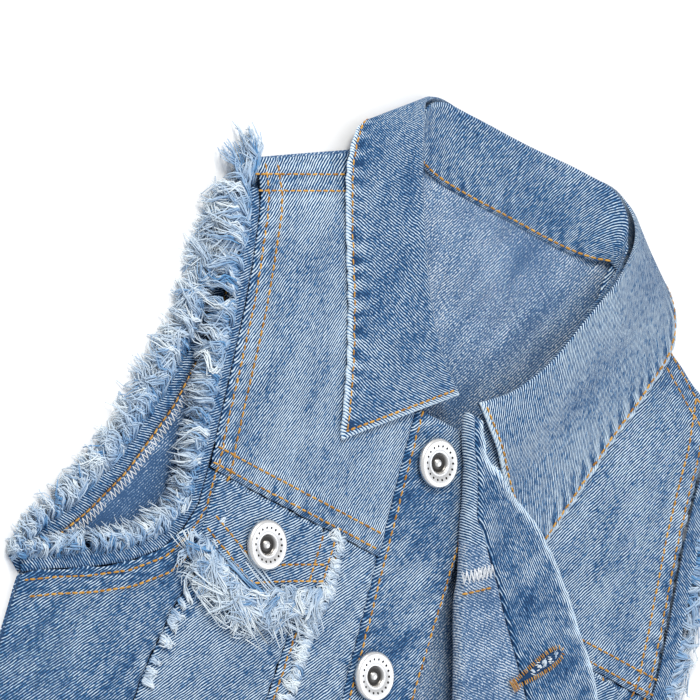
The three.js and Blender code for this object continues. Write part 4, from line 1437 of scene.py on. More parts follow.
@dataclass
class TurnBack:
    """The right front's free edge, rolled round the fold line and laid wrong side up."""

    def rows(self, y: Array) -> tuple[Array, Array, Array]:
        """Fold x, free edge x and free edge y for rows that start at y."""
        return fold_line(y), turn_edge(y), turn_edge_y(y)

    def flat(self, y: Array, share: Array, thickness: float) -> Array:
        """Points of the flat stretch: share 0 where the roll ends, 1 at the free edge.

        Args:
            y: where each row starts on the fold.
            share: place across, from 0 to 1.
            thickness: height of the outer face over the cloth's under face.

        Returns:
            (rows, columns, 3) points.
        """
        fold, edge, edge_y = self.rows(y)
        x = fold + ROLL_OUTER + (edge - fold - ROLL_OUTER) * share
        yy = y + (edge_y - y) * share
        z = right_top(x, yy) + turn_clear(x, yy, share) + thickness + self.creases(x, yy)
        return np.stack([x, yy, z], axis=-1)

    def creases(self, x: Array, y: Array) -> Array:
        """Soft folds of the turned cloth."""
        return 0.35 * (1 + wave_noise(x, y, 44, 71)) + 0.2 * wave_noise(x, y, 16, 72)

    def facing_share(self, y: Array) -> Array:
        """Share where the facing begins.

        Args:
            y: where each row starts on the fold.

        Returns:
            Shares from 0 to 1.
        """
        fold, edge, edge_y = self.rows(y)
        return np.maximum(
            LEAST_FACING_START, 1 - FACING_WIDTH / np.hypot(edge - fold - ROLL_OUTER, edge_y - y)
        )

    def build(self) -> None:
        """Make the turned cloth and the facing."""
        ys = np.linspace(HEM_Y, TURN_BACK[0][0], 140)[:, None]
        angle = np.linspace(0, math.pi, 13)[None, :-1]
        fold = fold_line(ys)
        centre = fold + ROLL_OUTER
        low = right_top(centre, ys)
        roll = np.stack(
            [
                centre - ROLL_OUTER * np.sin(angle) - 0.5 * wave_noise(0 * ys, ys, 55, 73) * np.sin(angle),
                ys + 0 * angle,
                low + TURN_CLEAR / 2 - ROLL_OUTER * np.cos(angle) + 0.35 * (1 - np.cos(angle))
            ],
            axis=-1
        )
        share = np.linspace(0, 1, 26)[None, :] * self.facing_share(ys)
        flat = self.flat(ys, share, CLOTH)
        points = np.concatenate([roll, flat], axis=1)
        across = grid_length(points, 1)
        yy = np.repeat(ys, points.shape[1], axis=1)
        wear = 0.22 * wave_noise(points[..., 0], yy, 30, 75) + 0.12 * wave_noise(points[..., 0], yy, 9, 76)
        wear = wear + 0.25 * np.exp(-(((across - 5) / 4) ** 2))
        obj = Shell(
            "front_turned_right", points, CLOTH, wear, turned(across, yy, -116.0)
        ).build()
        cloth(
            obj, "front_turned_right",
            "denim_inside"
        )
        upper = (yy[1:, 1:] > FACING_LOW_Y).ravel().astype(int)
        second_finish(obj, "denim", np.concatenate([upper, np.ones_like(upper)]))
        begin = self.facing_share(ys) + 0.006
        share = begin + (1 - begin) * edge_stops(FACING_WIDTH, 2.4)[None, :]
        points = self.flat(ys, share, PLACKET_CLOTH)
        line = Line(points[::-1, -1, :2])
        x, y = points[..., 0], points[..., 1]
        height, mark = puckers(x, y, [line], 31)
        away, _ = line.measure(x, y)
        points[..., 2] += height
        wear = (
            0.2 * wave_noise(x, y, 26, 78) + 0.6 * mark * (away > 2.4) - 0.32
            + 1.2 * np.exp(-((away / 3.0) ** 4)) + 0.3 * whiskers(x, y, 33)
        )
        obj = Shell(
            "facing_right", points, PLACKET_CLOTH, wear,
            turned(x, y, WALE_LEAN - Grain.FACING.value)
        ).build()
        cloth(obj, "facing_right")


# Collar rows from the left front end to the middle of the back: where it rolls over, the leaf's edge,
# the neck seam, how far the right side is drawn from the left's mirror image, and the share that lies on
# the fronts
COLLAR_KEYS = (
    "roll_x", "roll_y", "leaf_z", "stand_z", "spread", "edge_x", "edge_y", "edge_z", "seam_x", "seam_y",
    "seam_z", "draw", "draw_y", "over"
)
COLLAR = (
    (-3, 4, 12.4, 9.2, 0, -53, -35, 10.8, -9, 0.5, 9.0, 7, -7, 1),
    (-17, 15, 12.7, 9.4, 0, -57.5, -18, 10.8, -26, 9, 9.0, 9, -5, 1),
    (-31, 33, 12.9, 9.4, 0, -63, 0, 10.9, -41, 27, 9.1, 11, -3, 1),
    (-44, 57, 13, 9.4, 0.1, -71, 20, 11, -53, 52, 9.1, 10, -2, 1),
    (-54, 80, 13, 9.4, 0.5, -81, 42, 11.2, -59, 74, 9.2, 9, -2, 1),
    (-58, 96, 11.4, 8.6, 0.9, -90, 67, 11, -55, 84, 7, 7, 0, 0.6),
    (-57.5, 106, 7.4, 7.2, 1, -86, 86, 5.4, -48, 82.5, 5, 4, 0, 0),
    (-50, 110.5, 3.2, 5.8, 0.7, -72, 86, 0.3, -40, 81, 3.9, 2, 2, 0),
    (-32, 111, 1.3, 4.8, 0, -42, 67, 0, -28, 80.2, 3.5, 0, 2, 0),
    (0, 111.5, 1.2, 4.7, 0, 0, 64, 0, 0, 80.2, 3.4, 0, 1, 0),
)
RIGHT_LEAF_RISE = 0.8
RIGHT_STAND_RISE = 0.3


def centripetal(points: Array, samples: Array) -> Array:
    """A centripetal Catmull-Rom curve through points, at samples from 0 to 1 spread evenly over the spans.

    Args:
        points: (n, 3) knots.
        samples: places from 0 to 1.

    Returns:
        (samples, 3) points.
    """
    ends = np.concatenate([[2 * points[0] - points[1]], points, [2 * points[-1] - points[-2]]])
    spans = len(points) - 1
    place = np.clip(samples * spans, 0, spans - 1e-9)
    k = place.astype(int)
    t = (place - k)[:, None]
    p0, p1, p2, p3 = (ends[k + i] for i in range(4))
    pairs = ((p0, p1), (p1, p2), (p2, p3))
    d0, d1, d2 = (np.maximum(np.linalg.norm(b - a, axis=1), 1e-4)[:, None] ** 0.5 for a, b in pairs)
    m1 = (p1 - p0) / d0 - (p2 - p0) / (d0 + d1) + (p2 - p1) / d1
    m2 = (p2 - p1) / d1 - (p3 - p1) / (d1 + d2) + (p3 - p2) / d2
    m1, m2 = m1 * d1, m2 * d1
    return (
        (2 * t**3 - 3 * t**2 + 1) * p1 + (t**3 - 2 * t**2 + t) * m1 + (-2 * t**3 + 3 * t**2) * p2
        + (t**3 - t**2) * m2
    )


@dataclass
class Collar:
    """The shirt collar: a stand that rises from the neck seam and a leaf that falls over it."""

    stitching: Stitching

    def rows(self) -> dict[str, Array]:
        """All rows by name, the right ones mirrored and drawn outwards.

        Returns:
            Arrays from the left front end to the right one.
        """
        left = {key: np.array([row[i] for row in COLLAR], float) for i, key in enumerate(COLLAR_KEYS)}
        back = {key: value[-2::-1] for key, value in left.items()}
        over_roll = over_placket(-back["roll_x"], back["roll_y"])
        over_seam = over_placket(-back["seam_x"], back["seam_y"])
        right = dict(back)
        right["roll_x"] = -back["roll_x"] + 0.35 * back["draw"]
        right["roll_y"] = back["roll_y"] + np.maximum(0, back["draw_y"])
        right["seam_x"] = -back["seam_x"] + 0.35 * back["draw"]
        right["edge_x"] = -back["edge_x"] + back["draw"]
        right["edge_y"] = back["edge_y"] + back["draw_y"]
        right["leaf_z"] = back["leaf_z"] + back["over"] * (RIGHT_LEAF_RISE + over_roll)
        right["stand_z"] = back["stand_z"] + back["over"] * (RIGHT_STAND_RISE + over_roll)
        right["seam_z"] = back["seam_z"] + back["over"] * (RIGHT_STAND_RISE + over_seam)
        return {key: np.concatenate([left[key], right[key]]) for key in COLLAR_KEYS}

    def curves(self, samples: Array) -> dict[str, Array]:
        """Roll, edge and seam curves, and how far the leaf lies over the fronts, at samples from 0 to 1.

        Args:
            samples: places from 0 to 1.

        Returns:
            The curves by name, and the share that lies on the fronts.
        """
        r = self.rows()
        away = np.stack([r["edge_x"] - r["roll_x"], r["edge_y"] - r["roll_y"]], axis=1)
        away = unit(away)
        corner = (np.abs(r["roll_x"]) > 40) & (r["roll_y"] > 90)
        away[corner] = np.stack([np.sign(r["roll_x"]) * 0.75, np.full(len(corner), 0.66)], axis=1)[corner]
        spread = r["spread"]
        leaf = np.stack(
            [r["roll_x"] + away[:, 0] * 2 * spread, r["roll_y"] + away[:, 1] * 2 * spread, r["leaf_z"]], 1
        )
        stand = np.stack(
            [
                r["roll_x"] - away[:, 0] * 1.8 * spread, r["roll_y"] - away[:, 1] * 1.8 * spread,
                r["stand_z"]
            ],
            1
        )
        number = np.arange(len(spread), dtype=float)
        return {
            "leaf": centripetal(leaf, samples),
            "stand": centripetal(stand, samples),
            "edge": centripetal(np.stack([r["edge_x"], r["edge_y"], r["edge_z"]], 1), samples),
            "seam": centripetal(np.stack([r["seam_x"], r["seam_y"], r["seam_z"]], 1), samples),
            "over": centripetal(np.stack([number, r["over"], 0 * number], 1), samples)[:, 1],
        }

    def leaf(self, samples: Array, v: Array) -> Array:
        """Leaf points: v is 0 at the roll and 1 at the outer edge, (samples, v).

        Args:
            samples: places along, from 0 to 1.
            v: places across, from 0 to 1.

        Returns:
            (samples, v, 3) points.
        """
        c = self.curves(samples)
        v = np.broadcast_to(v, (len(samples), np.shape(v)[-1]))
        start, end = c["leaf"][:, None], c["edge"][:, None]
        p = start + (end - start) * v[..., None]
        front = np.clip(c["over"], 0, 1)[:, None]
        x, y = p[..., 0], p[..., 1]
        fall = np.where(x > 0, 1 - smooth(0.24, 0.6, v), 1 - v**1.6)
        held = front * fall + (1 - front) * np.maximum(1 - v, 0) ** 2.8
        z = np.maximum(0.6, end[..., 2] + (start[..., 2] - end[..., 2]) * held)
        body = np.where(x > 0, right_top(x, y), front_top(x, y)) + LEAF_CLOTH + 0.8
        z = np.where((front > 0.5) & (y < shoulder_y(x)), np.maximum(z, body), z)
        return np.stack([x, y, z], axis=-1)

    def build(self) -> None:
        """Make the leaf, the stand and their rows."""
        samples = edge_stops(LEAF_RUN, 2.2)
        v = edge_stops(LEAF_DEPTH, 2.2)
        points = self.leaf(samples, v[None, :])
        x, y = points[..., 0], points[..., 1]
        across = grid_length(points, 1)
        depth = across[:, -1:] - across
        run = run_length(points[:, -1])[:, None]
        away = np.minimum(depth, np.minimum(run, run[-1] - run))
        waves = ripple(depth, run, wave_noise(x, y, 34, 41), 7.4)
        mark = np.clip(1.2 * waves, -PUCKER_LIMIT, PUCKER_LIMIT)
        height = PUCKER_HEIGHT * mark
        rolled = np.exp(-((v[None, :] / 0.1) ** 2))
        swell = v[None, :] * (1 - 0.6 * v[None, :])
        points[..., 2] += height + (0.5 * wave_noise(x, y, 40, 42) + 0.3) * swell
        points[..., 2] = np.maximum(points[..., 2], 0.5)
        wear = (
            0.12 * wave_noise(x, y, 50, 43) + 0.95 * mark * (away > 2.2)
            + 1.4 * np.exp(-((away / 1.7) ** 2)) + 0.1 * rolled - 0.1 - 0.16 * (x < 0)
        )
        length = run_length(points[:, 30])
        u_cut = np.repeat(length[:, None], len(v), axis=1)
        obj = Shell(
            "collar_leaf", points, LEAF_CLOTH, wear,
            turned(u_cut, 60 * v[None, :] + 0 * u_cut, 8.0), flip=True
        ).build()
        cloth(obj, "collar_leaf")
        self.edge_row(points, v, EDGE_ROW)
        base = self.curves(samples)
        rise = edge_stops(STAND_DEPTH, 2.6)
        stand = base["seam"][:, None] + (base["stand"] - base["seam"])[:, None] * rise[None, :, None]
        x, y = stand[..., 0], stand[..., 1]
        seam = Line(stand[:, 0, :2])
        height, mark = puckers(x, y, [seam], 45)
        wear = 0.1 * wave_noise(x, y, 40, 46) + 0.3 * mark - 0.2
        length = run_length(stand[:, 10])
        u_cut = np.repeat(length[:, None], len(rise), axis=1)
        obj = Shell(
            "collar_stand", stand, CLOTH, wear,
            turned(u_cut, STAND_DEPTH * rise[None, :] + 0 * u_cut, -2.0), STAND_SHADE, flip=True
        ).build()
        cloth(obj, "collar_stand")
        normals = -grid_normals(stand)
        inside = (np.abs(stand[:, 4, 0]) < 57) & (stand[:, 4, 1] > 78)
        self.stitching.path(stand[inside, 3] * 0.5 + stand[inside, 2] * 0.5, normals[inside, 3])

    def edge_row(self, points: Array, v: Array, inset: float) -> None:
        """Topstitch along the leaf's three free edges, on its own surface.

        Args:
            points: the leaf's grid.
            v: its places across.
            inset: distance from the edge.
        """
        normals = grid_normals(points)
        if (normals[..., 2].mean()) < 0:
            normals = -normals
        edge = points[:, -1]
        step = run_length(edge)
        reach = np.linalg.norm(points[:, -1] - points[:, 0], axis=-1)
        share = 1 - inset / reach
        first = int(np.searchsorted(step, inset))
        last = int(np.searchsorted(step, step[-1] - inset))
        column = np.clip(np.searchsorted(v, share), 1, len(v) - 1)
        mixing = ((share - v[column - 1]) / (v[column] - v[column - 1]))[:, None]
        rows = np.arange(len(points))
        along = points[rows, column - 1] * (1 - mixing) + points[rows, column] * mixing
        self.stitching.path(along[first : last + 1], normals[rows, column][first : last + 1])
        for row in (first, last):
            self.stitching.path(points[row, 3:-3], normals[row, 3:-3])


@dataclass
class Armhole:
    """One layer's frayed sleeve stub: a strip of cloth darkened with painted shade, and the threads that hang
    from it.

    Attributes:
        node: the solid it stands for.
        side: -1 for the wearer's side at the picture's left, 1 for the other.
        rows: the armhole as (y, x) rows.
        top: height of the strip's upper face.
        reach: thread length from the shoulder (0) to the underarm (1), as (place, length) rows.
        count: number of threads.
        rise: how high the threads stand over their roots at most.
        seed: start of the random draws.
        curl: sideways swing of the threads as a share of their length.
        bare: share of the strip's width that has no roots.
    """

    node: str
    side: int
    rows: Sequence[tuple[float, float]]
    top: Callable[[Array, Array], Array]
    reach: Sequence[tuple[float, float]]
    count: int
    rise: float
    seed: int
    curl: float = 0.2
    bare: float = 0.6

    def build(self) -> None:
        """Make the strip and its threads."""
        line = Line([(self.side * x, y) for y, x in self.rows if y < STUB_TOP_Y])
        dense = line.at(np.linspace(0, line.length, int(line.length / 2.5)))
        across = edge_stops(STUB_WIDTH, 1.6)
        ahead = unit(np.gradient(dense, axis=0))
        kernel = np.ones(9) / 9
        padded = np.pad(ahead, ((4, 4), (0, 0)), mode="edge")
        ahead = np.stack([np.convolve(padded[:, k], kernel, mode="valid") for k in (0, 1)], axis=1)
        out = self.side * left_of(unit(ahead))
        plan = dense[:, None] + out[:, None] * (GAP + (STUB_WIDTH - GAP) * across[None, :, None])
        x, y = plan[..., 0], plan[..., 1]
        z = self.top(x, y) + 0.35 * wave_noise(x, y, 11, self.seed) * across[None, :]
        points = np.stack([x, y, np.maximum(z, CLOTH)], axis=-1)
        wear = -0.16 + 0.2 * wave_noise(x, y, 9, self.seed + 1) + 0.35 * across[None, :] ** 4
        cut = turned(
            np.repeat(np.linspace(0, line.length, len(dense))[:, None], len(across), 1),
            across[None, :] * STUB_WIDTH + 0 * x, 0
        )
        # STUB_SHADE paints shade over the whole strip
        obj = Shell(self.node, points, CLOTH, wear, cut, STUB_SHADE).build()
        cloth(obj, self.node)
        threads = Threads(self.node + "_threads", self.seed)
        rng = threads.random
        count = self.count // LOCK_THREADS
        t = rng.uniform(0, 1, count)
        clump = 0.6 + 0.4 * np.sin(t * line.length * 0.33 + self.seed) * np.sin(t * line.length * 0.131)
        spot = t * (len(dense) - 1)
        lower = spot.astype(int)
        mixing = (spot - lower)[:, None]
        upper = np.minimum(lower + 1, len(dense) - 1)
        base = dense[lower] * (1 - mixing) + dense[upper] * mixing
        away = unit(out[lower] * (1 - mixing) + out[upper] * mixing)
        depth = rng.uniform(STUB_WIDTH * self.bare, STUB_WIDTH, count)
        root = base + away * depth[:, None]
        length = np.interp(t, [r[0] for r in self.reach], [r[1] for r in self.reach])
        length = length * (0.55 + 0.7 * rng.uniform(0, 1, count) ** 0.8) * (0.75 + 0.35 * clump)
        height = np.maximum(self.top(root[:, 0], root[:, 1]), CLOTH) + rng.uniform(-0.6, 0.4, count)
        threads.spray(
            np.column_stack([root, height]), away, length + STUB_WIDTH - depth, curl=self.curl,
            rise=self.rise
        )
        tuft = 16
        root = np.column_stack(
            [
                self.side * rng.uniform(128, 134, tuft), rng.uniform(38, 50, tuft),
                np.full(tuft, 1.6 + 0.5 * self.rise)
            ]
        )
        up = np.tile([self.side * 0.4, 0.92], (tuft, 1))
        threads.spray(root, up, rng.uniform(12, 21, tuft), curl=0.12, rise=self.rise, lean=0.2)
        threads.build()


@dataclass
class Flap:
    """A pointed pocket flap with a frayed lower edge, its threads and its topstitching.

    Attributes:
        side: -1 at the picture's left, 1 at its right.
        label: the side's name in the names of its pieces.
        draw: how far it is moved outwards with the turned front.
        stitching: the garment's topstitching.
        seed: start of its waves and random draws.
    """

    side: int
    label: str
    draw: float
    stitching: Stitching
    seed: int

    def build(self) -> None:
        """Make the flap, its backing strip and the threads."""
        corners = sorted((self.side * (x + self.draw), float(y)) for x, y in FLAP_OUTLINE)
        xs, ys = (np.array([c[k] for c in corners]) for k in (0, 1))

        def low(x: Array) -> Array:
            """The flap's pointed lower edge."""
            return np.interp(x, xs, ys)

        left, right = xs[0], xs[-1]

        def top(x: Array, y: Array) -> Array:
            """Upper face of the flap before its puckers."""
            return front_top(x, y) + GAP + CLOTH + 0.25

        shares = edge_stops(right - left, 2.4)
        x = left + (right - left) * shares[None, :]
        rows = edge_stops(30.0, 2.4)[:, None]
        y = low(x) + (FLAP_TOP_Y - low(x)) * rows
        x = x + 0 * y
        edge = Line(np.stack([x[0], y[0]], axis=1))
        height, mark = puckers(x, y, [edge, Line([(left, FLAP_TOP_Y), (right, FLAP_TOP_Y)])], self.seed)
        z = top(x, y) + height
        wear = -0.1 + 0.12 * wave_noise(x, y, 30, self.seed + 1) + 0.4 * mark
        points = np.stack([x, y, z], axis=-1)
        node = f"pocket_flap_{self.label}"
        obj = Shell(
            node, points, CLOTH, wear, turned(x, y, WALE_LEAN - Grain.FLAP.value)
        ).build()
        cloth(obj, node)

        def stitch_top(a: Array, b: Array) -> Array:
            """Upper face with the puckers of the lower edge."""
            return top(a, b) + puckers(a, b, [edge], self.seed)[0]

        self.stitching.row(edge.offset(FLAP_ROW), stitch_top)
        self.stitching.row(edge.offset(FLAP_ROW + TWIN_GAUGE), stitch_top)
        inner = right if self.side < 0 else left
        for inset in (EDGE_ROW, EDGE_ROW + TWIN_GAUGE):
            x_row = inner + self.side * inset
            self.stitching.row(Line([(x_row, FLAP_TOP_Y - 1), (x_row, float(low(x_row)) + 3)]), stitch_top)
        self.fray(edge, top)

    def fray(self, edge: Line, top: Callable[[Array, Array], Array]) -> None:
        """Make the narrow frayed strip below the flap and its threads.

        Args:
            edge: the flap's lower edge.
            top: height of the flap's upper face.
        """
        out = Line(edge.offset(-3.0).points)
        dense = edge.at(np.linspace(0, edge.length, 40))
        far = out.at(np.linspace(0, out.length, 40))
        share = np.linspace(0, 1, 7)[None, :, None]
        plan = dense[:, None] * (1 - share) + far[:, None] * share
        x, y = plan[..., 0], plan[..., 1]
        points = np.stack([x, y, top(x, y) - 0.2], axis=-1)
        wear = 0.3 + 0.2 * wave_noise(x, y, 7, self.seed + 3)
        fringe = f"flap_fringe_{self.label}"
        obj = Shell(fringe, points, CLOTH, wear, turned(x, y, 0)).build()
        plain_piece(obj, "denim")
        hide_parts(fringe)
        threads = Threads(fringe + "_threads", self.seed + 60, knots=9)
        rng = threads.random
        count = FLAP_THREADS[self.label] // LOCK_THREADS
        t = rng.uniform(0, 1, count)
        base = edge.at(t * edge.length)
        normal = np.array([0.3 * self.side, -0.95]) * np.ones((count, 1))
        root = base + normal * rng.uniform(0.5, 3.0, (count, 1))
        length = FLAP_REACH * rng.uniform(0.4, 1.35, count)
        z = top(root[:, 0], root[:, 1]) - rng.uniform(0, 1.0, count)
        threads.spray(
            np.column_stack([root, z]), normal, length, curl=0.34, rise=3.0, lean=0.34, floor=9.6, pale=0.62
        )
        threads.build()


@dataclass(frozen=True)
class TackButton:
    """A turned metal tack button: a rounded rim round a dished centre with a stud.

    Its profile is a list of radius, height and tone, the tone being bright on the rim and dark in
    the dish; the rim carries a ring of small plain dots.
    """

    PROFILE = (
        (0.0, 2.35, 1.0), (0.7, 2.32, 1.0), (1.25, 2.1, 1.0), (1.6, 1.75, 0.7), (1.8, 1.35, 0.1),
        (2.4, 1.25, 0.0), (3.2, 1.28, 0.0), (3.7, 1.5, 0.15), (4.0, 2.1, 0.55), (4.3, 2.45, 0.95),
        (4.8, 2.5, 1.0), (5.2, 2.42, 0.55), (5.6, 2.5, 0.85), (6.4, 2.72, 0.95), (7.2, 2.86, 1.0),
        (7.9, 2.95, 1.0), (8.5, 3.0, 1.0), (9.1, 2.9, 1.0), (9.6, 2.55, 0.95), (9.9, 2.0, 0.9),
        (10.0, 1.4, 0.8), (9.8, 0.9, 0.6), (9.2, 0.35, 0.4), (8.6, 0.1, 0.3), (0.0, 0.1, 0.3)
    )
    SIDES = 96
    DOTS = 18
    DOT_RADIUS = 0.7
    DOT_RING = 6.9

    def build(self, node: str) -> bpy.types.Object:
        """Turn the profile where the solid stands.

        Args:
            node: the solid that it replaces.

        Returns:
            The object.
        """
        low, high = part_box(node)
        centre = (np.array(low) + np.array(high)) / 2 / MM - SHIFT
        seat = low.z / MM
        profile = np.array(self.PROFILE)
        angle = np.arange(self.SIDES) * 2 * math.pi / self.SIDES
        radius, z, tone = profile[1:-1].T
        ring = np.stack([
            centre[0] + radius[:, None] * np.cos(angle), centre[1] + radius[:, None] * np.sin(angle),
            seat + z[:, None] + 0 * angle,
        ], axis=-1).reshape(-1, 3)
        points = np.concatenate(
            [ring, [[centre[0], centre[1], seat + profile[0, 1]], [centre[0], centre[1], seat + 0.1]]]
        )
        rings = len(radius)
        here = np.arange(self.SIDES)
        after = (here + 1) % self.SIDES
        rows = np.arange(rings - 1)[:, None] * self.SIDES
        quads = np.stack(
            [rows + here, rows + self.SIDES + here, rows + self.SIDES + after, rows + after], -1
        ).reshape(-1, 4)
        top = np.stack([here, after, np.full(self.SIDES, len(ring))], -1)
        base = np.stack(
            [
                after + (rings - 1) * self.SIDES, here + (rings - 1) * self.SIDES,
                np.full(self.SIDES, len(ring) + 1)
            ],
            -1
        )
        tones = np.concatenate([np.repeat(tone, self.SIDES), [1.0, 0.3]])
        turns = np.arange(self.DOTS)[:, None] * 2 * math.pi / self.DOTS
        corner = np.arange(8)[None, :] * math.pi / 4
        dots = np.stack(
            [
                centre[0] + self.DOT_RING * np.cos(turns) + self.DOT_RADIUS * np.cos(corner),
                centre[1] + self.DOT_RING * np.sin(turns) + self.DOT_RADIUS * np.sin(corner),
                seat + 2.7 + 0 * turns + 0 * corner
            ],
            axis=-1
        )
        peaks = np.concatenate([dots[..., :2].mean(1), np.full((self.DOTS, 1), seat + 3.05)], axis=1)
        first = len(points)
        rim = first + np.arange(self.DOTS * 8).reshape(self.DOTS, 8)
        peak = np.repeat(first + self.DOTS * 8 + np.arange(self.DOTS)[:, None], 8, axis=1)
        cones = np.stack([rim, np.roll(rim, -1, axis=1), peak], axis=-1).reshape(-1, 3)
        points = np.concatenate([points, dots.reshape(-1, 3), peaks])
        tones = np.concatenate([tones, np.full(self.DOTS * 9, 0.0)])
        obj = new_mesh(node, points, [quads, top, base, cones], {"tone": tones})
        plain_piece(obj, "metal")
        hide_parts(node)
        return obj


@dataclass
class SmallWork:
    """What is sewn or frayed on single spots: overlocked edges, the buttonhole and worn seams.

    Attributes:
        white: overlock thread.
        ochre: the garment's topstitching.
        satin_thread: the buttonhole's thread.
    """

    white: Stitching
    ochre: Stitching
    satin_thread: Stitching

    def zigzag(
        self, line: Line, top: Callable[[Array, Array], Array], half: float, pitch: float = 1.5
    ) -> None:
        """Overlock thread that runs to and fro across a line.

        Args:
            line: plan line.
            top: height of the surface.
            half: reach to each side.
            pitch: distance along the line from turn to turn.
        """
        along = np.arange(0, line.length, pitch)
        across = left_of(unit(line.at(along + 0.5) - line.at(along - 0.5)))
        turn = np.where(np.arange(len(along)) % 2 == 0, half, -half)[:, None]
        point = on_surface(line.at(along) + across * turn, top)
        self.white.segments(point[:-1], point[1:], np.tile(UP, (len(point) - 1, 1)))

    def inside_armholes(self) -> None:
        """The serged seam round the back's armholes, with its row of ochre beside it."""
        for side in (-1, 1):
            line = arm_line([(y, x) for y, x in BACK_ARMHOLE if y < STUB_TOP_Y], side)
            self.zigzag(line.offset(-side * 2.6), back_top, 2.0, 1.1)
            self.ochre.row(line.offset(side * 0.2), back_top, 0.2)

    def yoke_seam_inside(self) -> None:
        """The serged yoke seam that shows on the turned-back wrong side, with its row of ochre."""

        def top(x: Array, y: Array) -> Array:
            """Upper face of the turned cloth near the fold."""
            return right_top(x, y) + turn_clear(x, y, 0.2) + CLOTH + 0.7

        self.zigzag(Line([(21.5, -63.5), (38.5, -53.5)]), top, 2.4, 1.1)
        self.zigzag(Line([(21.5, -64.5), (38.5, -54.5)]), top, 2.4, 1.3)
        self.ochre.row(Line([(25.0, -69.5), (40.5, -60.3)]), top)

    def buttonhole(self) -> None:
        """A worn buttonhole in the facing: stitches round a gaping slit drawn as a dark sheet of painted
        shade, loose fuzz in it and a bar tack.
        """

        def top(x: Array, y: Array) -> Array:
            """Upper face of the facing."""
            return right_top(x, y) + turn_clear(x, y, 0.8) + PLACKET_CLOTH + 0.75

        eye, end = np.array([80.3, -71.6]), np.array([63.6, -92.6])
        length = float(np.linalg.norm(eye - end))
        ahead = (eye - end) / length
        across = np.array([-ahead[1], ahead[0]])
        angle = np.linspace(0, 2 * math.pi, 49)[:-1]
        reach = 0.5 - 0.5 * np.cos(angle)
        outline = (
            end + np.outer(reach * length, ahead) + np.outer(np.sin(angle) * (0.5 + 2.3 * reach), across)
        )
        ring = Line(np.concatenate([outline, outline[:1]]))
        along = np.arange(1.0, ring.length - 1.0, 1.15)
        along = along + np.random.default_rng(91).uniform(-0.25, 0.25, len(along))
        place = ring.at(along)
        out = -left_of(unit(ring.at(along + 0.4) - ring.at(along - 0.4)))
        out *= np.sign(np.sum(out * (place - outline.mean(0)), axis=1, keepdims=True))
        self.satin(place + out * 0.1, place + out * 2.0, top, 0.4)
        tack = end + ahead * np.arange(-1.6, 1.2, 0.6)[:, None]
        self.satin(tack - across * 2.8, tack + across * 2.8, top, 0.7)
        plan = np.concatenate([outline, outline.mean(0, keepdims=True)])
        points = on_surface(plan, top, 0.12)
        near = np.arange(len(outline))
        faces = np.stack([near, np.roll(near, -1), np.full(len(near), len(outline))], axis=1)
        # Both values below paint shade: the slit is a flat dark sheet standing for the shadowed gap
        worn = {"wear": np.full(len(points), -0.5), "shade": np.full(len(points), 0.5)}
        plain_piece(new_mesh("buttonhole_slit_shadow", points, [faces], worn, plan), "denim")
        fuzz = Threads("buttonhole_fuzz", 212, knots=8, radius=0.2)
        root = end + ahead * np.linspace(0.35, 0.85, 5)[:, None] * length
        fuzz.spray(
            on_surface(root, top, 0.3), np.tile(ahead, (5, 1)), np.full(5, 6.0), rise=0.5, floor=12.0,
            pale=0.95
        )
        fuzz.build()

    def satin(self, low: Array, high: Array, top: Callable[[Array, Array], Array], rise: float) -> None:
        """Close stitches from low to high plan points.

        Args:
            low: (n, 2) starts.
            high: (n, 2) ends.
            top: height of the surface.
            rise: height over it.
        """
        a, b = on_surface(low, top, rise), on_surface(high, top, rise * 0.6)
        self.satin_thread.segments(a, b, np.tile(UP, (len(a), 1)))

    def worn_seams(self) -> None:
        """Short pale threads where a seam's raw edge has worn through."""
        threads = Threads("worn_seam_threads", 211, knots=6)
        rng = threads.random
        bands = (
            (Line([(-99, -76), (-101, -109), (-108, -128), (-112, -160)]), 40, 6.0, -1, 0.75),
            (Line([(-36, -70), (-33, -94), (-37, -104), (-38, -162)]), 110, 9.0, 1, 0.8),
        )
        for line, count, length, side, pale in bands:
            along = rng.uniform(0, line.length, count)
            place = line.at(along)
            out = left_of(unit(line.at(along + 1) - line.at(along - 1))) * -side
            reach = length * rng.uniform(0.5, 1.2, count)
            threads.spray(
                on_surface(place, front_top, 0.9), out, reach, curl=0.14, rise=1.4, lean=0.22, floor=9.0,
                pale=pale
            )
        threads.build()

    def build(self) -> None:
        """Make all of them."""
        self.inside_armholes()
        self.yoke_seam_inside()
        self.buttonhole()
        self.worn_seams()


def camera() -> None:
    """Place the camera so that the garment is squeezed across as in the photograph."""
    turn = math.radians(VIEW_TURN_DEG)
    tilt = math.acos(SQUEEZE)
    right = Vector((math.cos(turn), math.sin(turn), 0.0))
    up = Vector((-math.sin(turn), math.cos(turn), 0.0))
    back = Vector((0, 0, 1)) * math.cos(tilt) - right * math.sin(tilt)
    across = right * math.cos(tilt) + Vector((0, 0, 1)) * math.sin(tilt)
    target = Vector(to_row(np.array([PHOTO_CENTRE[0] - CENTRE_LINE_X, PHOTO_CENTRE[1], REFERENCE_Z])))
    data = bpy.data.cameras.new("photo camera")
    data.lens = LENS_MM
    data.sensor_width = SENSOR_MM
    data.clip_end = 100.0
    distance = PHOTO_HEIGHT_MM * MM * LENS_MM / SENSOR_MM
    obj = bpy.data.objects.new("photo camera", data)
    matrix = Matrix((across, up, back)).transposed().to_4x4()
    matrix.translation = target + back * distance
    obj.matrix_world = matrix
    bpy.context.scene.collection.objects.link(obj)
    bpy.context.scene.camera = obj


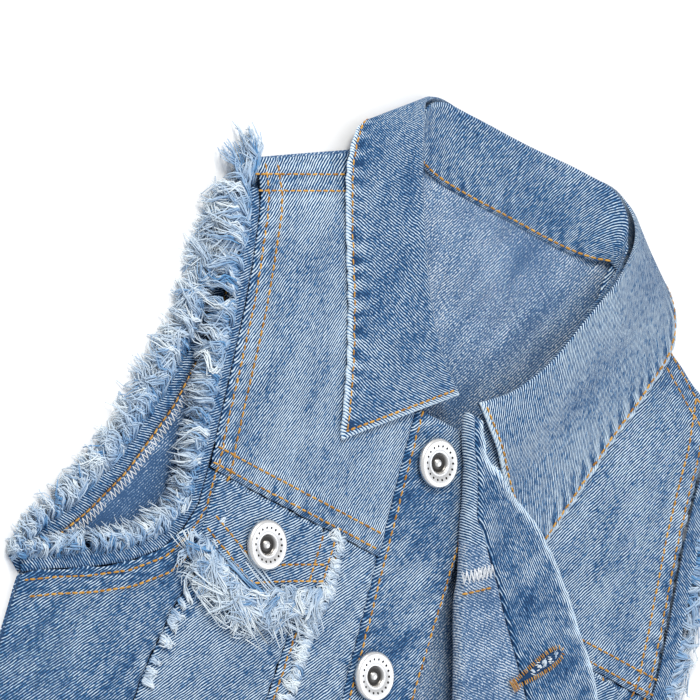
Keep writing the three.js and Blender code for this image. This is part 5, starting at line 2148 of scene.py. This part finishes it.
def light(name: str, place: tuple[float, float, float], size: float, power: float, colour: str) -> None:
    """A square area light that looks at the garment's middle, placed in metres from it.

    Args:
        name: the lamp's name.
        place: metres from the garment's middle.
        size: side in metres.
        power: watts.
        colour: sRGB hex colour.
    """
    data = bpy.data.lights.new(name, "AREA")
    data.size = size
    data.energy = power
    data.color = linear(colour)[:3]
    obj = bpy.data.objects.new(name, data)
    middle = Vector(to_row(np.array([-CENTRE_LINE_X, 0.0, 0.0])))
    obj.location = middle + Vector(place)
    obj.rotation_euler = (-Vector(place)).to_track_quat("-Z", "Y").to_euler()
    bpy.context.scene.collection.objects.link(obj)


def surroundings() -> None:
    """The white table, the soft lights and the pale surrounding light."""
    g = Graph("white paper")
    paper = g.finish(g.add("BsdfPrincipled", {"Base Color": linear("#f6f7f8"), "Roughness": 0.95}))
    floor = new_mesh(
        "table", np.array([[-3000, -3000, 0], [3000, -3000, 0], [3000, 3000, 0], [-3000, 3000, 0]], float),
        [np.array([[0, 1, 2, 3]])]
    )
    floor.data.materials.append(paper)
    floor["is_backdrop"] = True
    light("key from the upper left", (-0.7, 0.8, 1.1), 0.55, 17.0, "#fffaf2")
    light("fill from the right", (1.1, -0.2, 1.0), 1.4, 7.0, "#eef4ff")
    world = bpy.data.worlds.new("pale room")
    world.use_nodes = True
    world.node_tree.nodes["Background"].inputs["Color"].default_value = linear("#f2f5fa")
    world.node_tree.nodes["Background"].inputs["Strength"].default_value = 0.75
    bpy.context.scene.world = world
    bpy.context.scene.view_settings.view_transform = "Standard"


FRONT_REACH = ((0.0, 17.0), (0.2, 13.0), (0.35, 9.0), (0.6, 6.5), (0.8, 8.0), (0.93, 8.0), (1.0, 4.0))
BACK_REACH = ((0.0, 18.0), (0.5, 16.0), (0.9, 10.0), (1.0, 4.0))
RIGHT_REACH = ((0.0, 18.0), (0.4, 17.0), (0.6, 14.0), (1.0, 5.0))


def main() -> None:
    """Build the dressed vest."""
    logging.basicConfig(level=logging.INFO, format="%(message)s")
    MATERIALS["denim"] = Denim().build()
    MATERIALS["denim_inside"] = Denim(
        "wrong side of denim", "#34567f", "#789abd", "#e2eaf1", 0.5, 4.4, 0.45, 1.9
    ).build()
    MATERIALS["thread"] = Thread("ochre polyester topstitching thread", "#a06c28", "#d9a54e").build()
    MATERIALS["fringe"] = Thread("frayed cotton yarn", "#6296c6", "#eaf4fa", 0.85).build()
    MATERIALS["overlock"] = Thread("white overlock thread", "#c3ccd6", "#f4f6f8").build()
    MATERIALS["metal"] = Nickel().build()
    sewing = Stitching("topstitching", "thread")
    Back().build()
    LeftFront(sewing).build()
    RightFront(sewing).build()
    TurnBack().build()
    Collar(sewing).build()
    Armhole("armhole_front_left", -1, FRONT_ARMHOLE, front_top, FRONT_REACH, 3600, 4.5, 101).build()
    Armhole("armhole_front_right", 1, FRONT_ARMHOLE_RIGHT, front_top, RIGHT_REACH, 1500, 4.0, 102).build()
    Armhole("armhole_back_left", -1, BACK_ARMHOLE, back_top, BACK_REACH, 3700, 4.0, 103, bare=0.8).build()
    Armhole("armhole_back_right", 1, BACK_ARMHOLE, back_top, BACK_REACH, 1200, 3.0, 104, bare=0.8).build()
    Flap(-1, "left", 0.0, sewing, 51).build()
    Flap(1, "right", FLAP_DRAW, sewing, 52).build()
    overlock = Stitching("overlock", "overlock", width=0.5)
    satin_thread = Stitching("buttonhole_thread", "thread", width=0.55)
    SmallWork(overlock, sewing, satin_thread).build()
    satin_thread.build()
    sewing.build()
    overlock.build()
    button = TackButton()
    for node in ("button_1", "button_2", "button_3", "button_4", "button_waist", "flap_button_left",
                 "flap_button_right"):
        button.build(node)
    camera()
    surroundings()
    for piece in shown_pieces():
        LOG.info("%s: %d faces", piece.name, len(piece.data.polygons))


if __name__ == "__main__":
    main()
